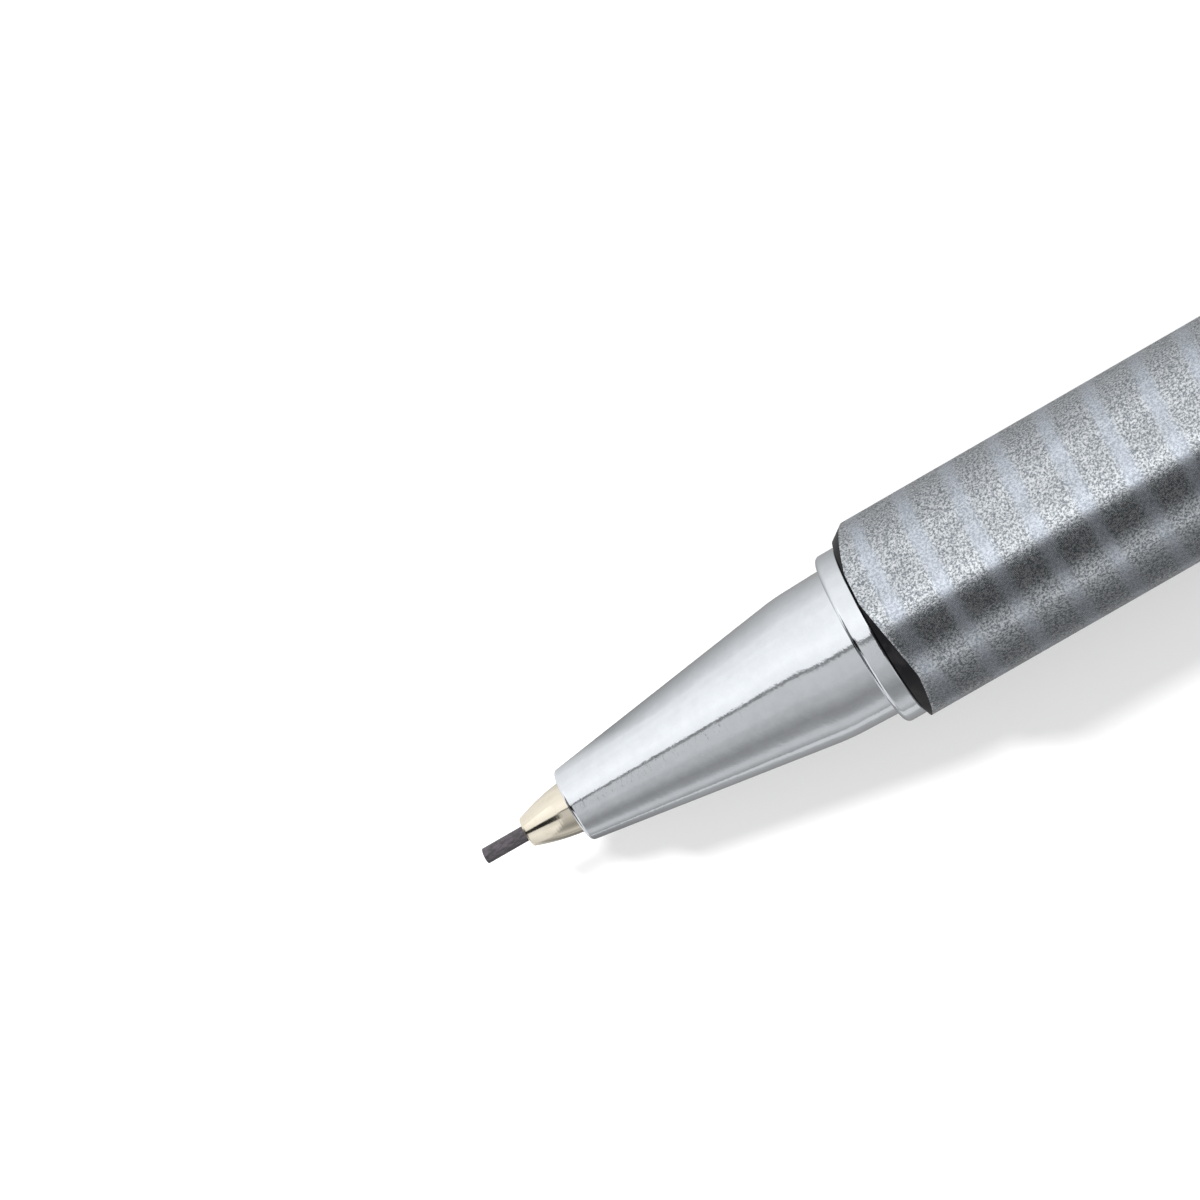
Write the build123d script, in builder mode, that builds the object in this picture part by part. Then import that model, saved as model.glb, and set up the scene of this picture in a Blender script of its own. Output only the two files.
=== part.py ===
from build123d import *
import os
from math import atan2, cos, degrees, radians, sin, sqrt

# A slim push-button mechanical pencil for 0.7 mm leads, in millimetres.
# The pencil's axis is X. The lead points to -X, the push button to +X, and +Z is up.
# One flat of the three-sided barrel faces -Z and is what the pencil rests on.
# The origin is on the axis, in the middle of the nose collar's length.

# ---------------------------------------------------------------- driving dimensions

# lead and lead guide
lead_diameter = 0.70
lead_length = 48.0
lead_shown = 2.06  # lead in front of the guide
guide_shown = 2.30  # guide in front of the cone
guide_tip_diameter = 1.32
guide_waist_diameter = 2.00  # where the ogive bulges, part way back
guide_waist_place = 0.49  # of the shown length, from the tip
guide_diameter = 2.40
guide_flange_diameter = 2.80
guide_flange_length = 1.0
guide_neck_length = 1.0  # neck through the cone's front wall
guide_edge_round = 0.12

# nose cone
cone_length = 11.80
cone_tip_diameter = 3.36
cone_diameter = 6.78
taper_length = 2.36
taper_diameter = 6.93
collar_diameter = 8.00
collar_length = 1.03
cone_edge_round = 0.18
cone_taper_blend = 9.0
collar_front_round = 0.24
collar_rear_bevel = 0.08
spigot_length = 8.0
spigot_neck_depth = 0.10
thread_pitch = 0.60
thread_depth = 0.18
thread_turns = 10
o_ring_section = 0.50

# barrel
barrel_length = 106.0
barrel_face_radius = 4.20  # axis to the middle of a flat
barrel_corner_rise = 0.54  # crest of a corner, further out than a flat
barrel_flat_width = 1.20
barrel_edge_round = 1.50
end_land_drop = 0.04  # from a flat to where each end's turned cone starts
shadow_gap = 0.05
shadow_depth = 0.36
insert_wall = 0.45
insert_length = 8.4

# clutch
retainer_length = 1.8
ring_wall = 0.60
ring_length = 2.5
ring_travel = 0.70
click_travel = 2.00
chuck_head_diameter = 3.00
chuck_head_length = 3.4
chuck_shank_step = 0.17  # shank under the head's heel
chuck_length = 22.0
chuck_slit = 0.25
chuck_slit_length = 11.0
chuck_bore_diameter = 1.10
chuck_grip_length = 2.6
ring_to_head_front = 1.2  # chuck head in front of the ring
wedge_length = 1.3  # cone of the chuck's head inside the ring
head_rise = 0.28  # how much that cone opens towards the front
clutch_depth = 5.2  # back of the clutch ring, in front of the barrel
sleeve_wall = 0.40
sleeve_front_wall = 1.0
sleeve_ledge = 0.20  # how far the sleeve's flange laps the barrel's step
sleeve_flange_length = 1.0
sleeve_rear_length = 6.4
spring_wire = 0.35
spring_turns = 11
coupler_front_length = 10.0
coupler_flange_length = 1.8
coupler_plug_length = 6.0

# lead tube and what rides on its rear end
tube_diameter = 4.80
tube_wall = 0.40
tube_room = 0.35  # radial, around the tube in the barrel
tube_in_button = 3.3
spare_lead_length = 60.0
spare_lead_count = 2
holder_plug_length = 5.0
holder_flange_length = 0.8
holder_cup_length = 5.2
holder_floor = 0.7
holder_hole_diameter = 1.8
holder_wall = 0.22
eraser_length = 11.0
eraser_dome = 0.6

# push button
button_wall = 0.33
button_shown = 10.0
button_length = 21.0
button_end_wall = 0.8
button_end_round = 0.9
button_groove_width = 0.5
button_groove_depth = 0.17
button_groove_from_ferrule = 2.8  # more than the click's travel, so it never enters the bush
liner_wall = 0.25
liner_length = 13.0

# rear ferrule and clip
ferrule_diameter = 8.00
ferrule_length = 4.0
ferrule_round = 0.35
ferrule_spigot_length = 6.0
ferrule_wall = 0.26
bush_wall = 0.20
clip_thickness = 0.50
clip_width = 3.4
clip_tip_width = 2.4
clip_reach = 36.0  # slot to the clip's free end
clip_height = 1.30  # under the arm, above the barrel's flat
clip_front_height = 0.75
clip_bend = 1.2
clip_seat_gap = 0.08  # toe to barrel
clip_lip = 1.7
clip_lip_rise = 1.1
clip_slot_from_rear = 1.7
clip_face_angle = 150.0  # direction of the flat that carries the clip

# clearances
running = 0.05  # radial, pieces that slide in one another
snug = 0.02  # radial, pieces pressed or screwed together
lead_fit = 0.02  # radial, around the lead
slot_gap = 0.08

os.makedirs("parts", exist_ok=True)

# ---------------------------------------------------------------- stations along the axis

seat = collar_length / 2  # collar against barrel
collar_front = seat - collar_length
taper_front = collar_front - taper_length
cone_front = taper_front - cone_length
guide_front = cone_front - guide_shown
lead_front = guide_front - lead_shown
guide_step = cone_front + guide_neck_length
retainer_front = guide_step + guide_flange_length
retainer_rear = retainer_front + retainer_length
spigot_rear = seat + spigot_length
insert_rear = spigot_rear + sleeve_flange_length
barrel_rear = seat + barrel_length
ferrule_rear = barrel_rear + ferrule_length
button_rear = ferrule_rear + button_shown
button_front = button_rear - button_length

# the clutch lies in the nose, its sleeve held between the spigot and the barrel's step
ring_rear = seat - clutch_depth
sleeve_front = ring_rear
ring_front = ring_rear - ring_length
chamber_front = ring_front - ring_travel - 2 * running
chuck_front = ring_front - ring_to_head_front
chuck_rear = chuck_front + chuck_length
spring_front = sleeve_front + sleeve_front_wall
sleeve_rear = insert_rear + sleeve_rear_length
coupler_flange_front = sleeve_rear + click_travel + 2 * running
coupler_front = coupler_flange_front - coupler_front_length
tube_front = coupler_flange_front + coupler_flange_length
tube_rear = button_front + tube_in_button
holder_rear = tube_rear + holder_flange_length + holder_cup_length
eraser_front = tube_rear + holder_flange_length + holder_floor

# ---------------------------------------------------------------- radii that fit one another

lead_radius = lead_diameter / 2
lead_bore = lead_radius + lead_fit
head_radius = chuck_head_diameter / 2
head_heel_radius = head_radius - head_rise
shank_radius = head_heel_radius - chuck_shank_step
ring_radius = head_radius + running + ring_wall
chamber_radius = ring_radius + 3 * running
sleeve_radius = chamber_radius - running
sleeve_bore_radius = sleeve_radius - sleeve_wall
tube_radius = tube_diameter / 2
tube_bore = tube_radius - tube_wall
barrel_bore_radius = tube_radius + tube_room
sleeve_flange_radius = barrel_bore_radius + sleeve_ledge
spigot_radius = sleeve_flange_radius + running
spigot_neck_radius = spigot_radius - spigot_neck_depth
insert_radius = spigot_radius + snug + insert_wall
liner_bore = tube_radius + running
button_bore = liner_bore + liner_wall + snug
button_radius = button_bore + button_wall
bush_bore = button_radius + running
ferrule_bore = bush_bore + bush_wall + snug
ferrule_spigot_radius = ferrule_bore + ferrule_wall


def turn(points, mode=Mode.ADD):
    """Turns a closed outline of (axial place, radius) points about the pencil's axis."""
    with BuildSketch(Plane.XY) as outline:
        with BuildLine():
            Polyline(*points, close=True)
        make_face()
    revolve(outline.sketch, axis=Axis.X, mode=mode)


def ring_points(front, rear, inner, outer):
    """The outline of a plain tube."""
    return [(front, inner), (front, outer), (rear, outer), (rear, inner)]


def edges_at(part, place, radius):
    """The round edges of a turned part at one axial place and radius."""
    rims = part.edges().filter_by(GeomType.CIRCLE)
    rims = rims.filter_by(lambda e: abs(e.radius - radius) < 1e-3)
    return rims.filter_by(lambda e: abs(e.center().X - place) < 1e-3)


# ---------------------------------------------------------------- lead

with BuildPart() as lead:
    turn(ring_points(lead_front, lead_front + lead_length, 0, lead_radius))
lead.part.label = "lead"

# ---------------------------------------------------------------- lead guide

guide_radius = guide_diameter / 2
guide_flange_radius = guide_flange_diameter / 2
guide_waist = (guide_front + guide_waist_place * guide_shown, guide_waist_diameter / 2)

with BuildPart() as lead_guide:
    with BuildSketch(Plane.XY):
        with BuildLine():
            Line((guide_front, lead_bore), (guide_front, guide_tip_diameter / 2))
            ogive = ThreePointArc(
                (guide_front, guide_tip_diameter / 2), guide_waist, (cone_front, guide_radius)
            )
            Polyline(
                ogive @ 1,
                (guide_step, guide_radius),
                (guide_step, guide_flange_radius),
                (retainer_front, guide_flange_radius),
                (retainer_front, 2.5 * lead_bore),
                (guide_step, lead_bore),
                (guide_front, lead_bore),
            )
        make_face()
    revolve(axis=Axis.X)
    fillet(edges_at(lead_guide, guide_front, guide_tip_diameter / 2), guide_edge_round)
lead_guide.part.label = "lead_guide"

# ---------------------------------------------------------------- lead retainer

with BuildPart() as lead_retainer:
    turn(ring_points(retainer_front, retainer_rear, lead_bore, guide_flange_radius - snug))
    chamfer(edges_at(lead_retainer, retainer_rear, lead_bore), lead_radius)
lead_retainer.part.label = "lead_retainer"

# ---------------------------------------------------------------- nose cone

collar_radius = collar_diameter / 2
spigot_neck_rear = seat + o_ring_section + 2 * running
guide_pocket_radius = guide_flange_radius + snug
head_bay_radius = head_radius + 5 * running
thread_front = spigot_neck_rear + thread_pitch
thread_ridges = [
    point
    for turn_number in range(thread_turns)
    for point in (
        (thread_front + turn_number * thread_pitch, spigot_radius),
        (thread_front + (turn_number + 0.5) * thread_pitch, spigot_radius - thread_depth),
    )
]

with BuildPart() as nose_cone:
    turn(
        [
            (cone_front, cone_tip_diameter / 2),
            (taper_front, cone_diameter / 2),
            (collar_front, taper_diameter / 2),
            (collar_front, collar_radius),
            (seat, collar_radius),
            (seat, spigot_neck_radius),
            (spigot_neck_rear, spigot_neck_radius),
            (spigot_neck_rear, spigot_radius),
            *thread_ridges,
            (thread_front + thread_turns * thread_pitch, spigot_radius),
            (spigot_rear, spigot_radius),
            (spigot_rear, chamber_radius),
            (chamber_front, chamber_radius),
            (chamber_front, head_bay_radius),
            (retainer_rear, head_bay_radius),
            (retainer_rear, guide_pocket_radius),
            (guide_step, guide_pocket_radius),
            (guide_step, guide_radius + snug),
            (cone_front, guide_radius + snug),
        ]
    )
    fillet(edges_at(nose_cone, cone_front, cone_tip_diameter / 2), cone_edge_round)
    fillet(edges_at(nose_cone, taper_front, cone_diameter / 2), cone_taper_blend)
    fillet(edges_at(nose_cone, collar_front, collar_radius), collar_front_round)
    chamfer(edges_at(nose_cone, seat, collar_radius), collar_rear_bevel)
nose_cone.part.label = "nose_cone"

# ---------------------------------------------------------------- O-ring behind the collar

o_ring_centre = spigot_neck_radius + snug + o_ring_section / 2

with BuildPart() as nose_o_ring:
    with BuildSketch(Plane.XY):
        with Locations((seat + running + o_ring_section / 2, o_ring_centre)):
            Circle(o_ring_section / 2)
    revolve(axis=Axis.X)
nose_o_ring.part.label = "nose_o_ring"

# ---------------------------------------------------------------- brass bush in the barrel's front

insert_front = insert_rear - insert_length

with BuildPart() as thread_insert:
    turn(ring_points(insert_front, insert_rear, spigot_radius + snug, insert_radius))
    for groove in range(3):
        place = insert_front + (groove + 1) * insert_length / 4
        turn(
            ring_points(place, place + thread_pitch, insert_radius - thread_depth, insert_radius + 1),
            mode=Mode.SUBTRACT,
        )
thread_insert.part.label = "thread_insert"

# ---------------------------------------------------------------- barrel

# A flat, two side arcs and a corner arc repeat three times, each tangent to the next.
barrel_corner_radius = barrel_face_radius + barrel_corner_rise
corner_centre = barrel_corner_radius - barrel_edge_round
half_flat = barrel_flat_width / 2
reach = barrel_face_radius - barrel_edge_round
side_offset = (
    corner_centre**2 - sqrt(3) * corner_centre * half_flat + half_flat**2 - reach**2
) / (2 * reach - corner_centre)
side_radius = barrel_face_radius + side_offset
side_sweep = degrees(
    atan2(corner_centre * sin(radians(60)) - half_flat, corner_centre / 2 + side_offset)
)


def polar(distance, angle, across=0.0):
    """A point at a distance along a direction, and a distance across it, in the section."""
    a = radians(angle)
    return (distance * cos(a) - across * sin(a), distance * sin(a) + across * cos(a))


rear_bore_radius = button_radius + 3 * running
ferrule_pocket_radius = ferrule_spigot_radius + snug
ferrule_pocket_front = barrel_rear - ferrule_spigot_length
rear_bore_front = button_front - click_travel - 1.0
end_land_radius = barrel_face_radius - end_land_drop
neck_radius = end_land_radius - shadow_depth
waste = 1.0  # how far a cutting outline stands clear of the work

with BuildPart() as barrel:
    with BuildSketch(Plane.YZ.offset(seat)):
        with BuildLine():
            for face_angle in (-90, 30, 150):
                Line(
                    polar(barrel_face_radius, face_angle, -half_flat),
                    polar(barrel_face_radius, face_angle, half_flat),
                )
                CenterArc(
                    polar(-side_offset, face_angle, half_flat), side_radius, face_angle, side_sweep
                )
                CenterArc(
                    polar(corner_centre, face_angle + 60),
                    barrel_edge_round,
                    face_angle + side_sweep,
                    120 - 2 * side_sweep,
                )
                CenterArc(
                    polar(-side_offset, face_angle + 120, -half_flat),
                    side_radius,
                    face_angle + 120 - side_sweep,
                    side_sweep,
                )
        make_face()
    extrude(amount=barrel_length)
    crest = barrel_corner_radius + waste
    for end, inwards in ((seat, 1), (barrel_rear, -1)):
        turn(
            [
                (end - inwards * waste, neck_radius),
                (end + inwards * shadow_gap, neck_radius),
                (end + inwards * shadow_gap, end_land_radius),
                (end + inwards * (shadow_gap + crest - end_land_radius), crest),
                (end - inwards * waste, crest),
            ],
            mode=Mode.SUBTRACT,
        )
    turn(
        [
            (seat - waste, 0),
            (seat - waste, insert_radius + snug),
            (insert_rear, insert_radius + snug),
            (insert_rear, barrel_bore_radius),
            (rear_bore_front, barrel_bore_radius),
            (rear_bore_front, rear_bore_radius),
            (ferrule_pocket_front, rear_bore_radius),
            (ferrule_pocket_front, ferrule_pocket_radius),
            (barrel_rear + waste, ferrule_pocket_radius),
            (barrel_rear + waste, 0),
        ],
        mode=Mode.SUBTRACT,
    )
barrel.part.label = "barrel"

# ---------------------------------------------------------------- clutch ring

with BuildPart() as clutch_ring:
    turn(
        [
            (ring_front, head_radius + running),
            (ring_front, ring_radius),
            (ring_rear, ring_radius),
            (ring_rear, head_heel_radius + running),
            (ring_front + wedge_length, head_heel_radius + running),
        ]
    )
    chamfer(edges_at(clutch_ring, ring_front, ring_radius), 3 * running)
clutch_ring.part.label = "clutch_ring"

# ---------------------------------------------------------------- chuck

chuck_bore = chuck_bore_diameter / 2

with BuildPart() as chuck:
    turn(
        [
            (chuck_front, lead_bore),
            (chuck_front, head_radius - 4 * running),
            (chuck_front + 4 * running, head_radius),
            (ring_front, head_radius),
            (ring_front + wedge_length, head_heel_radius),
            (chuck_front + chuck_head_length, head_heel_radius),
            (chuck_front + chuck_head_length + head_rise, shank_radius),
            (chuck_rear, shank_radius),
            (chuck_rear, chuck_bore),
            (chuck_front + chuck_grip_length, chuck_bore),
            (chuck_front + chuck_grip_length, lead_bore),
        ]
    )
    with BuildSketch(Plane.YZ.offset(chuck_front)):
        with PolarLocations(head_radius / 2 + chuck_slit, 3):
            Rectangle(head_radius, chuck_slit)
    extrude(amount=chuck_slit_length, mode=Mode.SUBTRACT)
chuck.part.label = "chuck"

# ---------------------------------------------------------------- chuck sleeve

sleeve_rear_radius = barrel_bore_radius - running

with BuildPart() as chuck_sleeve:
    turn(
        [
            (sleeve_front, shank_radius + 3 * running),
            (sleeve_front, sleeve_radius),
            (spigot_rear, sleeve_radius),
            (spigot_rear, sleeve_flange_radius),
            (insert_rear, sleeve_flange_radius),
            (insert_rear, sleeve_rear_radius),
            (sleeve_rear, sleeve_rear_radius),
            (sleeve_rear, sleeve_bore_radius),
            (spring_front, sleeve_bore_radius),
            (spring_front, shank_radius + 3 * running),
        ]
    )
chuck_sleeve.part.label = "chuck_sleeve"

# ---------------------------------------------------------------- chuck spring

spring_radius = sleeve_bore_radius - 2 * running - spring_wire / 2
spring_start = spring_front + snug + spring_wire / 2
spring_span = coupler_front - snug - spring_wire / 2 - spring_start

with BuildPart() as chuck_spring:
    with BuildLine() as coil:
        Helix(
            pitch=spring_span / spring_turns,
            height=spring_span,
            radius=spring_radius,
            center=(spring_start, 0, 0),
            direction=(1, 0, 0),
        )
    with BuildSketch(Plane(origin=coil.line @ 0, z_dir=coil.line % 0)):
        Circle(spring_wire / 2)
    sweep(is_frenet=True)
chuck_spring.part.label = "chuck_spring"

# ---------------------------------------------------------------- chuck coupler

coupler_radius = sleeve_bore_radius - running

with BuildPart() as chuck_coupler:
    turn(
        [
            (coupler_front, shank_radius + snug),
            (coupler_front, coupler_radius),
            (coupler_flange_front, coupler_radius),
            (coupler_flange_front, tube_radius),
            (tube_front, tube_radius),
            (tube_front, tube_bore - snug),
            (tube_front + coupler_plug_length, tube_bore - snug),
            (tube_front + coupler_plug_length, 2 * chuck_bore),
            (tube_front, chuck_bore),
            (chuck_rear, chuck_bore),
            (chuck_rear, shank_radius + snug),
        ]
    )
chuck_coupler.part.label = "chuck_coupler"

# ---------------------------------------------------------------- lead tube and spare leads

with BuildPart() as lead_tube:
    turn(ring_points(tube_front, tube_rear, tube_bore, tube_radius))
lead_tube.part.label = "lead_tube"

spare_front = tube_front + coupler_plug_length + (
    tube_rear - tube_front - coupler_plug_length - holder_plug_length - spare_lead_length
) / 2
spare_orbit = tube_bore - running - lead_radius
spare_step = degrees((lead_diameter + running) / spare_orbit)

with BuildPart() as spare_leads:
    with BuildSketch(Plane.YZ.offset(spare_front)):
        for number in range(spare_lead_count):
            spare_angle = -90 + (number - (spare_lead_count - 1) / 2) * spare_step
            with Locations(polar(spare_orbit, spare_angle)):
                Circle(lead_radius)
    extrude(amount=spare_lead_length)
spare_leads.part.label = "spare_leads"

# ---------------------------------------------------------------- eraser holder and eraser

holder_hole = holder_hole_diameter / 2
holder_cup_radius = tube_radius - 2 * running
eraser_radius = holder_cup_radius - holder_wall - snug

with BuildPart() as eraser_holder:
    turn(
        [
            (tube_rear - holder_plug_length, holder_hole),
            (tube_rear - holder_plug_length, tube_bore - snug),
            (tube_rear, tube_bore - snug),
            (tube_rear, tube_radius),
            (tube_rear + holder_flange_length, tube_radius),
            (tube_rear + holder_flange_length, holder_cup_radius),
            (holder_rear, holder_cup_radius),
            (holder_rear, holder_cup_radius - holder_wall),
            (eraser_front, holder_cup_radius - holder_wall),
            (eraser_front, holder_hole),
        ]
    )
eraser_holder.part.label = "eraser_holder"

with BuildPart() as eraser:
    turn(ring_points(eraser_front, eraser_front + eraser_length, 0, eraser_radius))
    fillet(edges_at(eraser, eraser_front + eraser_length, eraser_radius), eraser_dome)
eraser.part.label = "eraser"

# ---------------------------------------------------------------- push button and its liner

groove_front = ferrule_rear + button_groove_from_ferrule

with BuildPart() as push_button:
    turn(ring_points(button_front, button_rear, 0, button_radius))
    fillet(edges_at(push_button, button_rear, button_radius), button_end_round)
    turn(
        ring_points(button_front - waste, button_rear - button_end_wall, 0, button_bore),
        mode=Mode.SUBTRACT,
    )
    turn(
        ring_points(
            groove_front,
            groove_front + button_groove_width,
            button_radius - button_groove_depth,
            button_radius + waste,
        ),
        mode=Mode.SUBTRACT,
    )
    fillet(
        edges_at(push_button, button_rear - button_end_wall, button_bore),
        button_end_round - button_wall,
    )
push_button.part.label = "push_button"

with BuildPart() as button_liner:
    turn(
        ring_points(
            button_front + 4 * running,
            button_front + 4 * running + liner_length,
            liner_bore,
            button_bore - snug,
        )
    )
button_liner.part.label = "button_liner"

# ---------------------------------------------------------------- rear ferrule and its bush

ferrule_radius = ferrule_diameter / 2
bush_front = ferrule_pocket_front
bush_rear = ferrule_rear - 2 * ferrule_round
slot_place = ferrule_rear - clip_slot_from_rear
clip_normal = Vector(0, cos(radians(clip_face_angle)), sin(radians(clip_face_angle)))
clip_top = Plane(origin=(0, 0, 0), x_dir=(1, 0, 0), z_dir=clip_normal)

with BuildPart() as rear_ferrule:
    turn(
        [
            (ferrule_pocket_front, ferrule_bore),
            (ferrule_pocket_front, ferrule_spigot_radius),
            (barrel_rear, ferrule_spigot_radius),
            (barrel_rear, ferrule_radius),
            (ferrule_rear, ferrule_radius),
            (ferrule_rear, bush_bore),
            (bush_rear, bush_bore),
            (bush_rear, ferrule_bore),
        ]
    )
    fillet(edges_at(rear_ferrule, ferrule_rear, ferrule_radius), ferrule_round)
    chamfer(edges_at(rear_ferrule, barrel_rear, ferrule_radius), collar_rear_bevel)
    with BuildSketch(clip_top):
        with Locations((slot_place, 0)):
            Rectangle(clip_thickness + 2 * slot_gap, clip_width + 2 * slot_gap)
    extrude(amount=ferrule_radius + waste, mode=Mode.SUBTRACT)
rear_ferrule.part.label = "rear_ferrule"

with BuildPart() as ferrule_bush:
    turn(ring_points(bush_front, bush_rear, bush_bore, ferrule_bore - snug))
ferrule_bush.part.label = "ferrule_bush"

# ---------------------------------------------------------------- clip

clip_side = Plane(origin=(0, 0, 0), x_dir=(1, 0, 0), z_dir=clip_top.x_dir.cross(clip_normal))
clip_rear = slot_place + clip_thickness / 2
clip_front = slot_place - clip_reach
toe_place = clip_front + clip_lip
toe_bottom = barrel_face_radius + clip_seat_gap
arm_bottom = barrel_face_radius + clip_height
arm_front_bottom = barrel_face_radius + clip_front_height
clip_root = ferrule_bore + slot_gap

with BuildPart() as clip:
    with BuildSketch(clip_side):
        with BuildLine():
            underside = FilletPolyline(
                (clip_rear - clip_thickness, clip_root),
                (clip_rear - clip_thickness, arm_bottom),
                (toe_place + 2 * clip_lip, arm_front_bottom),
                (toe_place, toe_bottom),
                (clip_front, toe_bottom + clip_lip_rise),
                radius=clip_bend - clip_thickness,
            )
            offset(underside, amount=clip_thickness, side=Side.RIGHT)
        make_face()
    extrude(amount=clip_width / 2, both=True)
    with BuildSketch(clip_top):
        with BuildLine():
            half_root = clip_width / 2
            half_tip = clip_tip_width / 2
            tip_start = clip_front + half_tip
            Polyline(
                (tip_start, half_tip),
                (clip_rear - clip_width, half_root),
                (clip_rear + waste, half_root),
                (clip_rear + waste, -half_root),
                (clip_rear - clip_width, -half_root),
                (tip_start, -half_tip),
            )
            ThreePointArc(
                (tip_start, half_tip), (clip_front - snug, 0), (tip_start, -half_tip)
            )
        make_face()
    extrude(amount=3 * ferrule_radius, mode=Mode.INTERSECT)
clip.part.label = "clip"

# ---------------------------------------------------------------- files

pieces = [
    lead,
    lead_guide,
    lead_retainer,
    nose_cone,
    nose_o_ring,
    thread_insert,
    barrel,
    clutch_ring,
    chuck,
    chuck_sleeve,
    chuck_spring,
    chuck_coupler,
    lead_tube,
    spare_leads,
    eraser_holder,
    eraser,
    push_button,
    button_liner,
    rear_ferrule,
    ferrule_bush,
    clip,
]

for piece in pieces:
    export_step(piece.part, f"parts/{piece.part.label}.step")

print("overall length", round(button_rear - lead_front, 2), "side arc radius", round(side_radius, 3))
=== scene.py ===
"""A slim push-button mechanical pencil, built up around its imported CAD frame.

The classes below hold their sizes in millimetres: places along the pencil's axis (X) and radii
from it. A mesh is scaled to metres once, as its piece is finished.
"""

import logging
from collections.abc import Callable, Iterable, Sequence
from dataclasses import dataclass, field
from enum import Enum
from math import acos, atan2, ceil, cos, degrees, hypot, pi, radians, sin, sqrt, tan
from typing import Union

import bmesh
import bpy
from mathutils import Matrix, Vector


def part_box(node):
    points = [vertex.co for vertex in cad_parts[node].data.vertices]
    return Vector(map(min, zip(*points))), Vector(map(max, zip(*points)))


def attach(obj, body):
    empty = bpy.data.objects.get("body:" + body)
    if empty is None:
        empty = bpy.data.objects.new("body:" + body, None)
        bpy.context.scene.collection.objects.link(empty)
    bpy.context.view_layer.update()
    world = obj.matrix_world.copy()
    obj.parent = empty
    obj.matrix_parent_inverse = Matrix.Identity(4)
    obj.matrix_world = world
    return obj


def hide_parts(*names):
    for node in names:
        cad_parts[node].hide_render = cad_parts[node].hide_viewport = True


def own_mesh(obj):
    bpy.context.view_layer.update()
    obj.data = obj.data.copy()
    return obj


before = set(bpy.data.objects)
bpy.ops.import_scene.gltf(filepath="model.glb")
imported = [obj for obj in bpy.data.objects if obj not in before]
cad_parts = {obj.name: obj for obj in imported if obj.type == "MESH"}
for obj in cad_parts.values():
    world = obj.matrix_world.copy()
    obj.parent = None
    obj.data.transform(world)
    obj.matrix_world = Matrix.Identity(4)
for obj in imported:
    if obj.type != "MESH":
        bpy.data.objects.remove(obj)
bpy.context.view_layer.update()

MM = 0.001
log = logging.getLogger("pencil")

SAME_POINT = 1e-6  # millimetres; points nearer than this are one
NEARLY = 1e-4  # millimetres; the same for the rounded places in a CAD node's mesh

Colour = tuple[float, float, float]
Triple = tuple[float, float, float]  # along X, Y and Z
Stop = tuple[float, float]  # place along a ramp, grey
Band = tuple[float, float]  # where a change starts and where it is complete
Ring = Callable[[float], tuple[float, float]]  # direction in radians to place and radius


class Body(Enum):
    """The frame's moving bodies."""

    BODY = "body"
    NOSE = "nose"
    MECHANISM = "mechanism"
    CLUTCH = "clutch"
    LEAD = "lead_stick"
    BUTTON = "button"
    ERASER = "eraser_plug"
    CLIP = "clip_arm"


class Slot(Enum):
    """The record's material slots."""

    SILVER = "silver_coat"
    CHROME = "bright_chrome"
    NICKEL = "guide_nickel"
    BRASS = "turned_brass"
    GRAPHITE = "graphite"
    BLACK_RUBBER = "black_rubber"
    BLACK_PLASTIC = "black_plastic"
    PALE_PLASTIC = "pale_plastic"
    SPRING = "spring_steel"
    THIN_STEEL = "thin_steel"
    ERASER = "white_eraser"


class Lay(Enum):
    """The way that a metal's fine tool or drawing lines run."""

    AROUND = (1.0, 0.06, 0.06)
    ALONG = (0.05, 1.0, 1.0)
    NONE = (1.0, 1.0, 1.0)


# ------------------------------------------------------------------------ shader graphs


class Signal:
    """A number inside a shader graph. Arithmetic on it adds Math nodes."""

    def __init__(self, graph: "Graph", socket: bpy.types.NodeSocket) -> None:
        """Wraps an output socket of a graph."""
        self.graph = graph
        self.socket = socket

    def __add__(self, other: "Value") -> "Signal":
        """self + other."""
        return self.graph.math("ADD", self, other)

    def __radd__(self, other: "Value") -> "Signal":
        """other + self."""
        return self.graph.math("ADD", other, self)

    def __sub__(self, other: "Value") -> "Signal":
        """self - other."""
        return self.graph.math("SUBTRACT", self, other)

    def __rsub__(self, other: "Value") -> "Signal":
        """other - self."""
        return self.graph.math("SUBTRACT", other, self)

    def __mul__(self, other: "Value") -> "Signal":
        """self * other."""
        return self.graph.math("MULTIPLY", self, other)

    def __rmul__(self, other: "Value") -> "Signal":
        """other * self."""
        return self.graph.math("MULTIPLY", other, self)

    def __truediv__(self, other: "Value") -> "Signal":
        """self / other."""
        return self.graph.math("DIVIDE", self, other)

    def __rtruediv__(self, other: "Value") -> "Signal":
        """other / self."""
        return self.graph.math("DIVIDE", other, self)

    def __abs__(self) -> "Signal":
        """The number without its sign."""
        return self.graph.math("ABSOLUTE", self)

    def rounded(self) -> "Signal":
        """The nearest whole number."""
        return self.graph.math("ROUND", self)

    def ramp(self, start: float, end: float) -> "Signal":
        """A smooth rise from 0 to 1.

        Args:
            start: Where it is still 0.
            end: Where it reaches 1, above or below start.

        Returns:
            The height of the rise at this number.
        """
        if end < start:
            return 1 - self.ramp(end, start)
        node = self.graph.node(
            "MapRange", {"interpolation_type": "SMOOTHSTEP"}, {0: self, 1: start, 2: end}
        )
        return Signal(self.graph, node.outputs[0])


Value = Union[Signal, bpy.types.NodeSocket, float, Colour, tuple]


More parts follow.
